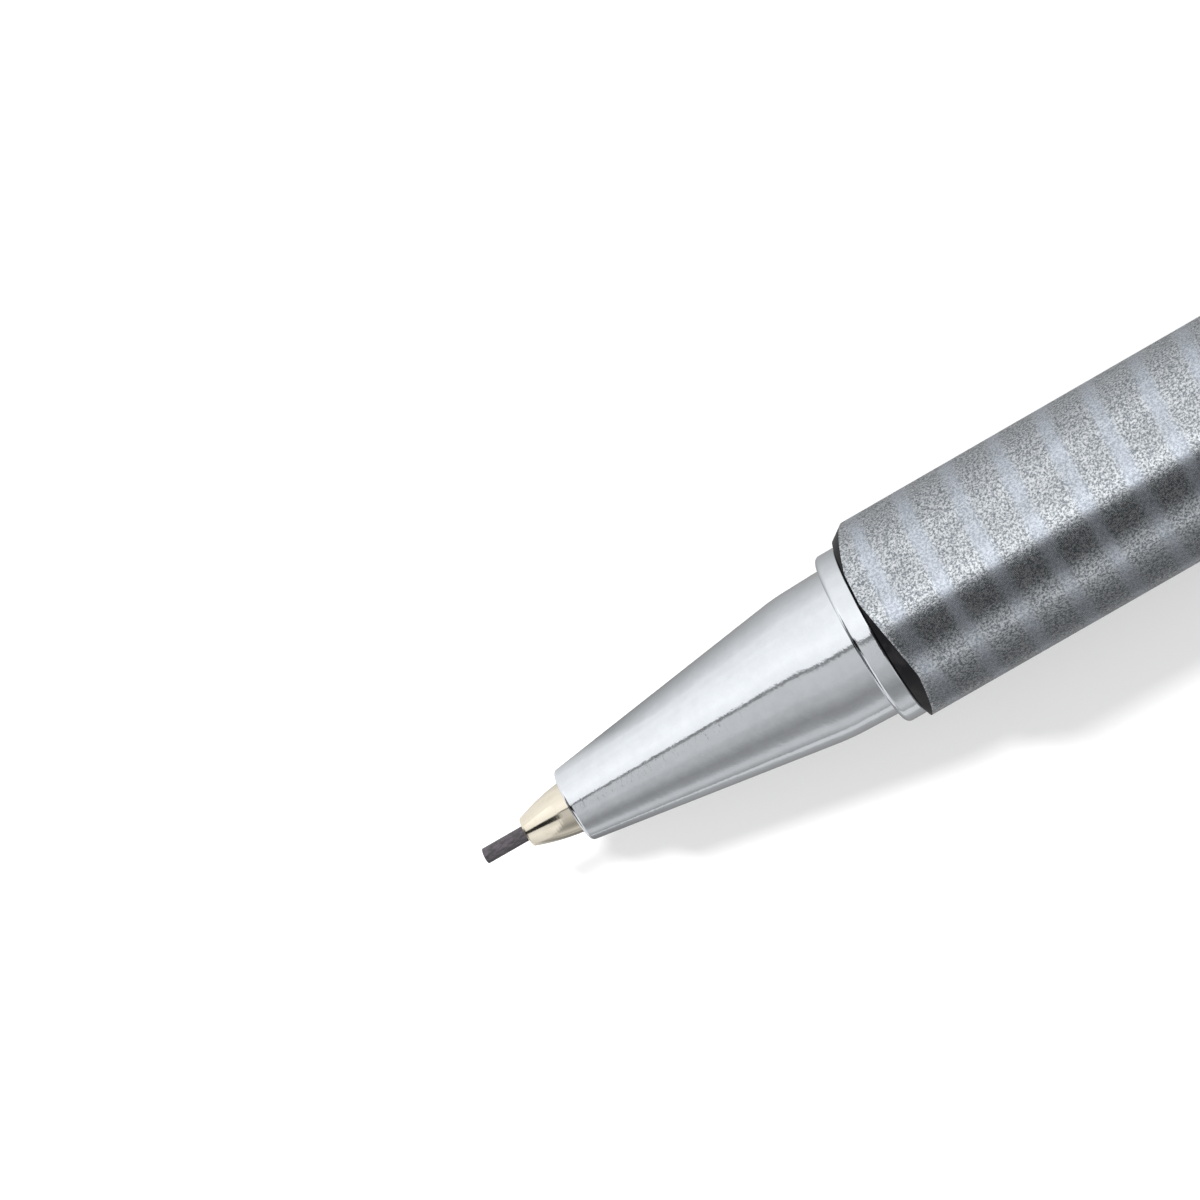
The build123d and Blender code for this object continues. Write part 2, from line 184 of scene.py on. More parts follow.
class Graph:
    """The node tree of a material or of the world."""

    def __init__(self, tree: bpy.types.NodeTree) -> None:
        """Starts from an empty tree."""
        tree.nodes.clear()
        self.tree = tree

    def node(
        self, kind: str, settings: dict | None = None, inputs: dict | None = None
    ) -> bpy.types.Node:
        """Adds one node.

        Args:
            kind: The node's type, without its ShaderNode prefix.
            settings: Its properties, set first; "stops" holds a colour ramp's (place, grey) pairs.
            inputs: A value or a link for each named or numbered socket.

        Returns:
            The node.
        """
        made = self.tree.nodes.new("ShaderNode" + kind)
        for name, value in (settings or {}).items():
            if name == "stops":
                self.set_stops(made.color_ramp, value)
            else:
                setattr(made, name, value)
        for key, value in (inputs or {}).items():
            if isinstance(value, Signal):
                value = value.socket
            if isinstance(value, bpy.types.NodeSocket):
                self.tree.links.new(value, made.inputs[key])
            elif isinstance(value, tuple) and len(made.inputs[key].default_value) == 4:
                made.inputs[key].default_value = (*value, 1.0)
            else:
                made.inputs[key].default_value = value
        return made

    @staticmethod
    def set_stops(ramp: bpy.types.ColorRamp, stops: Sequence[Stop]) -> None:
        """Gives a colour ramp its stops.

        Args:
            ramp: The ramp.
            stops: Its (place, grey) pairs, from left to right.
        """
        while len(ramp.elements) < len(stops):
            ramp.elements.new(1.0)
        for element, (place, grey) in zip(ramp.elements, stops):
            element.position = place
            element.color = (grey, grey, grey, 1.0)

    def math(self, operation: str, *values: Value) -> Signal:
        """The result of a Math node on the values."""
        node = self.node("Math", {"operation": operation}, dict(enumerate(values)))
        return Signal(self, node.outputs[0])

    def place(self) -> bpy.types.NodeSocket:
        """The point being shaded, in millimetres in the piece's own space."""
        coordinates = self.node("TexCoord").outputs["Object"]
        return self.scaled(coordinates, (1 / MM, 1 / MM, 1 / MM))

    def scaled(self, vector: bpy.types.NodeSocket, factors: Triple) -> bpy.types.NodeSocket:
        """A vector with each of its parts multiplied."""
        node = self.node("VectorMath", {"operation": "MULTIPLY"}, {0: vector, 1: factors})
        return node.outputs[0]

    def dimmed(self, colour: bpy.types.NodeSocket, share: Signal) -> bpy.types.NodeSocket:
        """A colour multiplied by a share."""
        node = self.node("VectorMath", {"operation": "SCALE"}, {0: colour, "Scale": share})
        return node.outputs[0]

    def part(self, vector: bpy.types.NodeSocket, axis: str) -> Signal:
        """A vector's part along one axis."""
        return Signal(self, self.node("SeparateXYZ", None, {0: vector}).outputs[axis])

    def graded(self, place: Signal, stops: Sequence[Stop]) -> bpy.types.NodeSocket:
        """The grey that a colour ramp has at a place along it."""
        return self.node("ValToRGB", {"stops": stops}, {0: place}).outputs[0]

    def noise(
        self, vector: bpy.types.NodeSocket, scale: float, detail: float = 2.0, rough: float = 0.5
    ) -> Signal:
        """Smooth noise about 0.5.

        Args:
            vector: The point that is asked for.
            scale: How many of its coarsest lumps there are to a unit.
            detail: How many times finer lumps are added.
            rough: How strong each finer set is against the one before.

        Returns:
            The noise.
        """
        inputs = {"Vector": vector, "Scale": scale, "Detail": detail, "Roughness": rough}
        return Signal(self, self.node("TexNoise", None, inputs).outputs[0])

    def blend(self, factor: Value, first: Value, second: Value) -> bpy.types.NodeSocket:
        """The first colour where the factor is 0, turning to the second where it is 1."""
        settings = {"data_type": "RGBA", "clamp_factor": True}
        return self.node("Mix", settings, {0: factor, 6: first, 7: second}).outputs[2]

    def bump(self, height: Signal, depth: float) -> bpy.types.NodeSocket:
        """The surface normal over a relief whose height of 1 stands for depth millimetres."""
        inputs = {"Strength": 1.0, "Distance": depth * MM, "Height": height}
        return self.node("Bump", None, inputs).outputs[0]


# ------------------------------------------------------------------------ finishes


@dataclass(frozen=True)
class Finish:
    """A surface finish. Subclasses describe its shader."""

    slot: Slot
    name: str

    def material(self) -> bpy.types.Material:
        """Makes the finish's material, once.

        Returns:
            The Blender material.
        """
        made = bpy.data.materials.get(self.name)
        if made is None:
            made = bpy.data.materials.new(self.name)
            made.use_nodes = True
            graph = Graph(made.node_tree)
            shader = graph.node("BsdfPrincipled", None, self.sockets(graph))
            graph.node("OutputMaterial", None, {"Surface": shader.outputs[0]})
        return made

    def sockets(self, graph: Graph) -> dict[str, Value]:
        """Builds the finish's nodes.

        Args:
            graph: The material's node tree.

        Returns:
            What the main shader's sockets hold.
        """
        raise NotImplementedError


@dataclass(frozen=True)
class SilverCoat(Finish):
    """A grainy silver coat with soft pale blue rings printed at an even pitch."""

    dark: Colour = (0.20, 0.225, 0.25)
    light: Colour = (0.78, 0.81, 0.84)
    ring: Colour = (0.55, 0.60, 0.69)
    first_ring: float = 1.80
    ring_pitch: float = 2.28
    ring_half_width: float = 0.42
    ring_edge: Band = (1.35, 0.35)  # shares of that half width
    ring_drift: float = 0.25  # how far a ring strays along the barrel
    ring_waves: float = 1.1  # of that drift, to the millimetre
    ring_cover: tuple[float, float] = (0.36, 0.24)  # least share of print, and what clouds add
    ring_fill: float = 0.55  # share of the grain's relief that the print fills
    clouds: float = 0.9  # to the millimetre
    cloud_edge: Band = (0.3, 0.7)
    cloud_share: float = 0.12  # how much clouds dull the flakes
    grain: float = 10.0  # lumps to the millimetre
    grain_depth: float = 0.009
    flake_edge: Band = (0.38, 0.62)
    roughness: float = 0.28
    flake_polish: float = 0.08  # how much smoother a flake is
    ring_matt: float = 0.05  # how much duller the print is
    metal: float = 0.96
    ring_paint: float = 0.07  # how much less metallic the print is

    def sockets(self, graph: Graph) -> dict[str, Value]:
        """Builds the finish's nodes.

        Args:
            graph: The material's node tree.

        Returns:
            What the main shader's sockets hold.
        """
        place = graph.place()
        drift = graph.noise(place, self.ring_waves) - 0.5
        along = graph.part(place, "X") + self.ring_drift * drift
        turns = (along - self.first_ring) / self.ring_pitch
        offset = abs(turns - turns.rounded()) * self.ring_pitch
        ring = offset.ramp(*(self.ring_half_width * share for share in self.ring_edge))
        speckle = graph.noise(place, self.grain, 3.0, 0.75)
        flakes = speckle.ramp(*self.flake_edge)
        cloud = graph.noise(place, self.clouds).ramp(*self.cloud_edge)
        least, more = self.ring_cover
        soft_ring = ring * (least + more * cloud)
        bright = flakes * (1 - self.cloud_share + self.cloud_share * cloud)
        metal = graph.blend(bright, self.dark, self.light)
        relief = speckle * (1 - self.ring_fill * ring)
        return {
            "Base Color": graph.blend(soft_ring, metal, self.ring),
            "Metallic": self.metal - self.ring_paint * soft_ring,
            "Roughness": self.roughness - self.flake_polish * flakes + self.ring_matt * soft_ring,
            "Normal": graph.bump(relief, self.grain_depth),
        }


@dataclass(frozen=True)
class Plating(Finish):
    """Polished plating whose faint ripple breaks up the edges of what it reflects."""

    colour: Colour = (0.84, 0.875, 0.915)
    dullest: float = 0.95  # share of the colour where the plating is dullest
    mottle: float = 1.7  # patches to the millimetre
    mottle_edge: Band = (0.3, 0.7)
    mottle_matt: float = 0.05  # how much rougher a bright patch is
    roughness: float = 0.05
    ripple: float = 4.0  # waves to the millimetre
    ripple_depth: float = 0.0065
    ripple_stretch: Triple = (1.0, 0.6, 0.6)

    def sockets(self, graph: Graph) -> dict[str, Value]:
        """Builds the finish's nodes.

        Args:
            graph: The material's node tree.

        Returns:
            What the main shader's sockets hold.
        """
        place = graph.place()
        wave = graph.noise(graph.scaled(place, self.ripple_stretch), self.ripple, 3.0, 0.7)
        mottle = graph.noise(place, self.mottle, 3.0, 0.6).ramp(*self.mottle_edge)
        dull = tuple(self.dullest * part for part in self.colour)
        return {
            "Base Color": graph.blend(mottle, dull, self.colour),
            "Metallic": 1.0,
            "Roughness": self.roughness + self.mottle_matt * mottle,
            "Normal": graph.bump(wave, self.ripple_depth),
        }


@dataclass(frozen=True)
class WorkedMetal(Finish):
    """Metal with fine lines left by turning or drawing, and a little tarnish."""

    colour: Colour = (0.80, 0.72, 0.58)
    tarnish: Colour = (0.62, 0.53, 0.40)
    lay: Lay = Lay.AROUND
    lines: float = 14.0  # to the millimetre
    line_depth: float = 0.0012
    roughness: float = 0.18
    line_matt: float = 0.06
    stains: float = 1.3  # to the millimetre
    stain_edge: Band = (0.45, 0.75)
    stain_share: float = 0.5
    stain_matt: float = 0.04

    def sockets(self, graph: Graph) -> dict[str, Value]:
        """Builds the finish's nodes.

        Args:
            graph: The material's node tree.

        Returns:
            What the main shader's sockets hold.
        """
        place = graph.place()
        lines = graph.noise(graph.scaled(place, self.lay.value), self.lines, 2.0, 0.6)
        stain = graph.noise(place, self.stains, 3.0, 0.6).ramp(*self.stain_edge)
        return {
            "Base Color": graph.blend(self.stain_share * stain, self.colour, self.tarnish),
            "Metallic": 1.0,
            "Roughness": self.roughness + self.line_matt * lines + self.stain_matt * stain,
            "Normal": graph.bump(lines, self.line_depth),
        }


@dataclass(frozen=True)
class Moulded(Finish):
    """Plastic, rubber or eraser, with a fine even texture and a few dull patches."""

    colour: Colour = (0.006, 0.006, 0.007)
    worn: Colour = (0.014, 0.013, 0.014)
    roughness: float = 0.32
    texture: float = 9.0  # lumps to the millimetre
    texture_depth: float = 0.004
    shine: float = 0.5
    patches: float = 0.8  # to the millimetre
    patch_edge: Band = (0.45, 0.7)
    patch_matt: float = 0.12

    def sockets(self, graph: Graph) -> dict[str, Value]:
        """Builds the finish's nodes.

        Args:
            graph: The material's node tree.

        Returns:
            What the main shader's sockets hold.
        """
        place = graph.place()
        pits = graph.noise(place, self.texture, 3.0, 0.6)
        patch = graph.noise(place, self.patches, 3.0, 0.6).ramp(*self.patch_edge)
        return {
            "Base Color": graph.blend(patch, self.colour, self.worn),
            "Roughness": self.roughness + self.patch_matt * patch,
            "Specular IOR Level": self.shine,
            "Normal": graph.bump(pits, self.texture_depth),
        }


@dataclass(frozen=True)
class Graphite(Finish):
    """Polymer graphite lead: dull, streaked along its length and slightly shiny."""

    colour: Colour = (0.062, 0.055, 0.063)
    streak: Colour = (0.030, 0.027, 0.031)
    roughness: float = 0.45
    streaks: float = 9.0  # across each millimetre
    streak_stretch: Triple = (0.35, 1.0, 1.0)
    streak_edge: Band = (0.35, 0.65)
    grit: float = 18.0  # lumps to the millimetre
    grit_matt: float = 0.15
    relief_depth: float = 0.016

    def sockets(self, graph: Graph) -> dict[str, Value]:
        """Builds the finish's nodes.

        Args:
            graph: The material's node tree.

        Returns:
            What the main shader's sockets hold.
        """
        place = graph.place()
        streaks = graph.noise(graph.scaled(place, self.streak_stretch), self.streaks, 3.0, 0.65)
        grit = graph.noise(place, self.grit, 2.0, 0.6)
        return {
            "Base Color": graph.blend(streaks.ramp(*self.streak_edge), self.colour, self.streak),
            "Roughness": self.roughness + self.grit_matt * grit,
            "Normal": graph.bump(0.5 * (streaks + grit), self.relief_depth),
        }


SILVER = SilverCoat(Slot.SILVER, "silver coat")
CHROME = Plating(Slot.CHROME, "bright chrome")
NICKEL = WorkedMetal(
    Slot.NICKEL, "warm nickel", (0.90, 0.83, 0.70), (0.74, 0.66, 0.52), roughness=0.07
)
BRASS = WorkedMetal(
    Slot.BRASS, "turned brass", (0.80, 0.60, 0.28), (0.52, 0.35, 0.15), roughness=0.22
)
THIN_STEEL = WorkedMetal(
    Slot.THIN_STEEL, "thin steel", (0.68, 0.68, 0.68), (0.50, 0.50, 0.50), Lay.ALONG, roughness=0.28
)
SPRING_STEEL = WorkedMetal(
    Slot.SPRING, "spring steel", (0.60, 0.60, 0.61), (0.42, 0.41, 0.40), Lay.NONE, roughness=0.25
)
LEAD = Graphite(Slot.GRAPHITE, "graphite lead")
BLACK_PLASTIC = Moulded(Slot.BLACK_PLASTIC, "black plastic", shine=0.12)
BLACK_RUBBER = Moulded(
    Slot.BLACK_RUBBER, "black rubber", roughness=0.7, texture_depth=0.008, shine=0.25
)
PALE_PLASTIC = Moulded(
    Slot.PALE_PLASTIC, "pale plastic", (0.72, 0.74, 0.76), (0.66, 0.68, 0.70),
    roughness=0.3, texture=6.0, texture_depth=0.002,
)
ERASER = Moulded(
    Slot.ERASER, "white eraser", (0.68, 0.68, 0.66), (0.60, 0.60, 0.58),
    roughness=0.75, texture=7.0, texture_depth=0.012,
)


# ------------------------------------------------------------------------ mesh making


@dataclass(frozen=True)
class Corner:
    """One corner of an outline that is turned on the lathe."""

    place: float
    radius: float
    round: float = 0.0
    segments: int = 6


@dataclass(frozen=True)
class Lathe:
    """Turns closed outlines about the pencil's axis."""

    steps: int = 128
    guard: float = 0.03  # narrow rows beside each corner, which keep long walls evenly shaded

    def turned(self, corners: Sequence[Corner]) -> bmesh.types.BMesh:
        """Rounds an outline's corners and spins it into a closed solid.

        Args:
            corners: The outline, in order; a stretch along the axis has radius 0 at both ends.

        Returns:
            The solid's mesh, in millimetres.
        """
        bm = bmesh.new()
        verts = [bm.verts.new((c.place, 0.0, c.radius)) for c in corners]
        outline = bm.faces.new(verts)
        for index, corner in enumerate(corners):
            if corner.round:
                round_corner(bm, verts[index], corner)
        bmesh.ops.delete(bm, geom=list(bm.faces), context="FACES_ONLY")
        on_axis = [e for e in bm.edges if all(abs(v.co.z) < SAME_POINT for v in e.verts)]
        bmesh.ops.delete(bm, geom=on_axis, context="EDGES")
        self.add_guards(bm)
        bmesh.ops.spin(
            bm, geom=[*bm.verts, *bm.edges], cent=(0, 0, 0), axis=(1, 0, 0), angle=2 * pi,
            steps=self.steps, use_merge=True,
        )
        bmesh.ops.remove_doubles(bm, verts=bm.verts, dist=SAME_POINT)
        bmesh.ops.recalc_face_normals(bm, faces=bm.faces)
        return bm

    def add_guards(self, bm: bmesh.types.BMesh) -> None:
        """Splits every long edge of the outline close to both of its ends.

        Args:
            bm: The outline, in the half of the XZ plane above the axis.
        """
        for edge in [e for e in bm.edges if e.calc_length() > 4 * self.guard]:
            for vert in edge.verts[:]:
                if vert.co.z > SAME_POINT:
                    edge = split_near_end(edge, vert, self.guard)


def split_near_end(
    edge: bmesh.types.BMEdge, vert: bmesh.types.BMVert, distance: float
) -> bmesh.types.BMEdge:
    """Splits an edge at a distance from one of its ends.

    Args:
        edge: The edge.
        vert: The end that the distance is measured from.
        distance: In millimetres.

    Returns:
        The part that is away from that end.
    """
    new_edge, _ = bmesh.utils.edge_split(edge, vert, distance / edge.calc_length())
    return new_edge if vert in edge.verts else edge


def round_corner(bm: bmesh.types.BMesh, vert: bmesh.types.BMVert, corner: Corner) -> None:
    """Rounds a corner of a flat outline.

    Args:
        bm: The outline.
        vert: The corner's vertex, on two edges.
        corner: What to make of it; only its round and its segments are read.
    """
    one, two = ((e.other_vert(vert).co - vert.co).normalized() for e in vert.link_edges)
    half_turn = (pi - acos(max(-1.0, min(1.0, one.dot(two))))) / 2
    bmesh.ops.bevel(
        bm, geom=[vert], offset=corner.round * tan(half_turn), offset_type="OFFSET",
        segments=corner.segments, profile=0.5, affect="VERTICES", material=-1,
    )


def soften(
    bm: bmesh.types.BMesh, edges: Iterable[bmesh.types.BMEdge], width: float, segments: int = 2
) -> None:
    """Bevels edges to a small round.

    Args:
        bm: The mesh.
        edges: The edges, all of them at once.
        width: How far the round reaches from each edge.
        segments: How many strips it has.
    """
    bmesh.ops.bevel(
        bm, geom=list(edges), offset=width, offset_type="OFFSET", segments=segments,
        profile=0.5, affect="EDGES", clamp_overlap=True, material=-1,
    )


def add_object(name: str, data: bpy.types.ID) -> bpy.types.Object:
    """Puts a mesh, lamp or camera into the scene.

    Args:
        name: The object's name.
        data: What it shows.

    Returns:
        The object.
    """
    made = bpy.data.objects.new(name, data)
    bpy.context.scene.collection.objects.link(made)
    return made


def add_mesh(name: str, bm: bmesh.types.BMesh) -> bpy.types.Object:
    """Puts a mesh into the scene.

    Args:
        name: The object's name.
        bm: The mesh, in metres, freed here.

    Returns:
        The object.
    """
    mesh = bpy.data.meshes.new(name)
    bm.to_mesh(mesh)
    bm.free()
    return add_object(name, mesh)


def finish_piece(
    name: str,
    bm: bmesh.types.BMesh,
    body: Body,
    finishes: Sequence[Finish],
    replaces: str,
    sharp_angle: float = 35.0,
) -> bpy.types.Object:
    """Makes a smooth-shaded piece from a mesh in millimetres and sets it on its body.

    Args:
        name: The piece's name.
        bm: Its mesh, freed here.
        body: The body that it rides on.
        finishes: Its finishes, by the faces' material index.
        replaces: The CAD node that it stands for.
        sharp_angle: Edges that turn by more degrees than this stay crisp.

    Returns:
        The piece.
    """
    bmesh.ops.scale(bm, vec=(MM, MM, MM), verts=bm.verts)
    piece = add_mesh(name, bm)
    mesh = piece.data
    mesh.shade_smooth()
    mesh.set_sharp_from_angle(angle=radians(sharp_angle))
    for finish in finishes:
        mesh.materials.append(finish.material())
    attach(piece, body.value)
    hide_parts(replaces)
    log.info("%s: %d faces, on %s, for %s", name, len(mesh.polygons), body.value, replaces)
    return piece


def smooth_copy(node: str, name: str, body: Body, finish: Finish) -> bpy.types.Object:
    """Makes a merged and smoothly shaded copy of a CAD node, which stands for it.

    Args:
        node: The CAD node.
        name: The copy's name.
        body: The body that it rides on.
        finish: Its finish.

    Returns:
        The piece.
    """
    bm = bmesh.new()
    bm.from_mesh(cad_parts[node].data)
    bmesh.ops.scale(bm, vec=(1 / MM, 1 / MM, 1 / MM), verts=bm.verts)
    bmesh.ops.remove_doubles(bm, verts=bm.verts, dist=NEARLY)
    return finish_piece(name, bm, body, [finish], node, sharp_angle=28.0)


@dataclass(frozen=True)
class Span:
    """Where a CAD node lies: its ends along the axis and its largest radius, in millimetres."""

    front: float
    rear: float
    radius: float

    @classmethod
    def of(cls, node: str) -> "Span":
        """The span of a CAD node."""
        low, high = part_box(node)
        return cls(low.x / MM, high.x / MM, max(abs(low.y), high.y, abs(low.z), high.z) / MM)


# ------------------------------------------------------------------------ nose


@dataclass
class Nose:
    """The chrome nose: cone, taper, collar and threaded spigot, with its lead guide."""

    cone_front_radius: float = 1.68
    cone_rear_radius: float = 3.39
    taper_length: float = 2.36
    taper_radius: float = 3.465
    collar_length: float = 1.03
    front_round: float = 0.18
    blend_round: float = 9.0
    collar_round: float = 0.24
    collar_bevel: float = 0.08
    neck_length: float = 0.60
    neck_radius: float = 2.90
    spigot_radius: float = 3.00
    spigot_front_round: float = 0.05
    spigot_rear_round: float = 0.12
    thread_pitch: float = 0.60
    thread_depth: float = 0.18
    thread_turns: int = 10
    thread_rows: int = 8  # to each turn
    chamber_radius: float = 2.30
    chamber_front: float = -7.985
    bay_radius: float = 1.75
    pocket_radius: float = 1.42
    guide_tip_radius: float = 0.66
    guide_tip_round: float = 0.10
    guide_radius: float = 1.20
    guide_waist: tuple[float, float] = (0.49, 1.00)  # share of the shown length, radius
    guide_step: float = 1.0
    guide_rows: int = 16
    lead_bore: float = 0.37
    funnel_radius: float = 0.925  # at the back of the guide
    lathe: Lathe = field(default_factory=Lathe)

    def build(self) -> list[bpy.types.Object]:
        """Makes the nose's pieces."""
        return [
            self.shell(),
            self.guide(),
            smooth_copy("lead_retainer", "retainer_sleeve", Body.NOSE, BLACK_RUBBER),
            smooth_copy("nose_o_ring", "nose_seal", Body.NOSE, BLACK_RUBBER),
        ]

    def shell(self) -> bpy.types.Object:
        """Makes the cone, taper, collar and spigot in one piece.

        Returns:
            The piece.
        """
        span = Span.of("nose_cone")
        guide = Span.of("lead_guide")
        retainer = Span.of("lead_retainer")
        seat = Span.of("barrel").front
        collar_front = seat - self.collar_length
        neck_rear = seat + self.neck_length
        thread_start = neck_rear + 0.5 * self.thread_pitch
        thread_end = neck_rear + (self.thread_turns + 1) * self.thread_pitch
        step = guide.rear - self.guide_step
        guide_clear = self.guide_radius + self.pocket_radius - guide.radius
        taper_front = collar_front - self.taper_length
        bm = self.lathe.turned(
            [
                Corner(span.front, self.cone_front_radius, self.front_round),
                Corner(taper_front, self.cone_rear_radius, self.blend_round, 12),
                Corner(collar_front, self.taper_radius),
                Corner(collar_front, span.radius, self.collar_round, 8),
                Corner(seat, span.radius, self.collar_bevel, 3),
                Corner(seat, self.neck_radius),
                Corner(neck_rear, self.neck_radius),
                Corner(neck_rear, self.spigot_radius, self.spigot_front_round, 2),
                *self.thread_stretch(thread_start, thread_end),
                Corner(span.rear, self.spigot_radius, self.spigot_rear_round, 3),
                Corner(span.rear, self.chamber_radius),
                Corner(self.chamber_front, self.chamber_radius),
                Corner(self.chamber_front, self.bay_radius),
                Corner(retainer.rear, self.bay_radius),
                Corner(retainer.rear, self.pocket_radius),
                Corner(step, self.pocket_radius),
                Corner(step, guide_clear),
                Corner(span.front, guide_clear),
            ]
        )
        self.cut_thread(bm, thread_start, thread_end)
        return finish_piece("nose_shell", bm, Body.NOSE, [CHROME], "nose_cone")

    def thread_stretch(self, start: float, end: float) -> list[Corner]:
        """Lays out the rows that the thread is cut into.

        Args:
            start: The thread's front end.
            end: Its rear end.

        Returns:
            The stretch of the spigot's outline between them.
        """
        count = ceil((end - start) / self.thread_pitch * self.thread_rows)
        places = [start + (end - start) * row / count for row in range(count + 1)]
        return [Corner(place, self.spigot_radius) for place in places]

    def cut_thread(self, bm: bmesh.types.BMesh, start: float, end: float) -> None:
        """Sinks a helical groove, which runs out at both ends, into the spigot's wall.

        Args:
            bm: The nose's mesh.
            start: The thread's front end.
            end: Its rear end.
        """
        for vert in bm.verts:
            x, y, z = vert.co
            radius = hypot(y, z)
            if abs(radius - self.spigot_radius) > NEARLY or not start < x < end:
                continue
            turn = ((x - start) / self.thread_pitch - atan2(z, y) / (2 * pi)) % 1.0
            groove = 1 - abs(2 * turn - 1)
            fade = min(1.0, (x - start) / self.thread_pitch, (end - x) / self.thread_pitch)
            share = 1 - groove * fade * self.thread_depth / radius
            vert.co = (x, y * share, z * share)

    def guide(self) -> bpy.types.Object:
        """Makes the lead guide, with an ogive in front and a flange behind.

        Returns:
            The piece.
        """
        span = Span.of("lead_guide")
        cone_front = Span.of("nose_cone").front
        step = span.rear - self.guide_step
        bm = self.lathe.turned(
            [
                Corner(span.front, self.lead_bore),
                Corner(span.front, self.guide_tip_radius, self.guide_tip_round),
                *self.ogive(span.front, cone_front),
                Corner(step, self.guide_radius),
                Corner(step, span.radius),
                Corner(span.rear, span.radius),
                Corner(span.rear, self.funnel_radius),
                Corner(step, self.lead_bore),
            ]
        )
        return finish_piece("guide_sleeve", bm, Body.NOSE, [NICKEL], "lead_guide")

    def ogive(self, front: float, rear: float) -> list[Corner]:
        """Draws the guide's swelling outline, a parabola through its tip, waist and root.

        Args:
            front: Where the tip is.
            rear: Where the root is.

        Returns:
            The outline behind the tip, with the root.
        """
        share, waist = self.guide_waist
        rise = self.guide_radius - self.guide_tip_radius
        swell = (waist - self.guide_tip_radius - rise * share) / (share * (1 - share))
        corners = []
        for row in range(1, self.guide_rows + 1):
            t = row / self.guide_rows
            radius = self.guide_tip_radius + rise * t + swell * t * (1 - t)
            corners.append(Corner(front + (rear - front) * t, radius))
        return corners


@dataclass
class LeadStick:
    """The bare lead, cut off a little out of square and worn at its edge."""

    cut_angle: float = 7.0
    edge_wear: float = 0.035
    rear_round: float = 0.04
    lathe: Lathe = field(default_factory=lambda: Lathe(steps=64))

    def build(self) -> list[bpy.types.Object]:
        """Makes the lead.

        Returns:
            Its one piece.
        """
        span = Span.of("lead")
        bm = self.lathe.turned(
            [
                Corner(span.front, 0.0),
                Corner(span.front, span.radius),
                Corner(span.rear, span.radius, self.rear_round, 2),
                Corner(span.rear, 0.0),
            ]
        )
        lean = radians(self.cut_angle)
        bmesh.ops.bisect_plane(
            bm, geom=[*bm.verts, *bm.edges, *bm.faces], clear_outer=True,
            plane_co=(span.front, 0, span.radius), plane_no=(-cos(lean), 0, -sin(lean)),
        )
        rim = [e for e in bm.edges if e.is_boundary]
        end = bmesh.ops.contextual_create(bm, geom=rim)["faces"]
        bmesh.ops.recalc_face_normals(bm, faces=bm.faces)
        soften(bm, [e for face in end for e in face.edges], self.edge_wear, 3)
        return [finish_piece("bare_lead", bm, Body.LEAD, [LEAD], "lead")]


# ------------------------------------------------------------------------ barrel


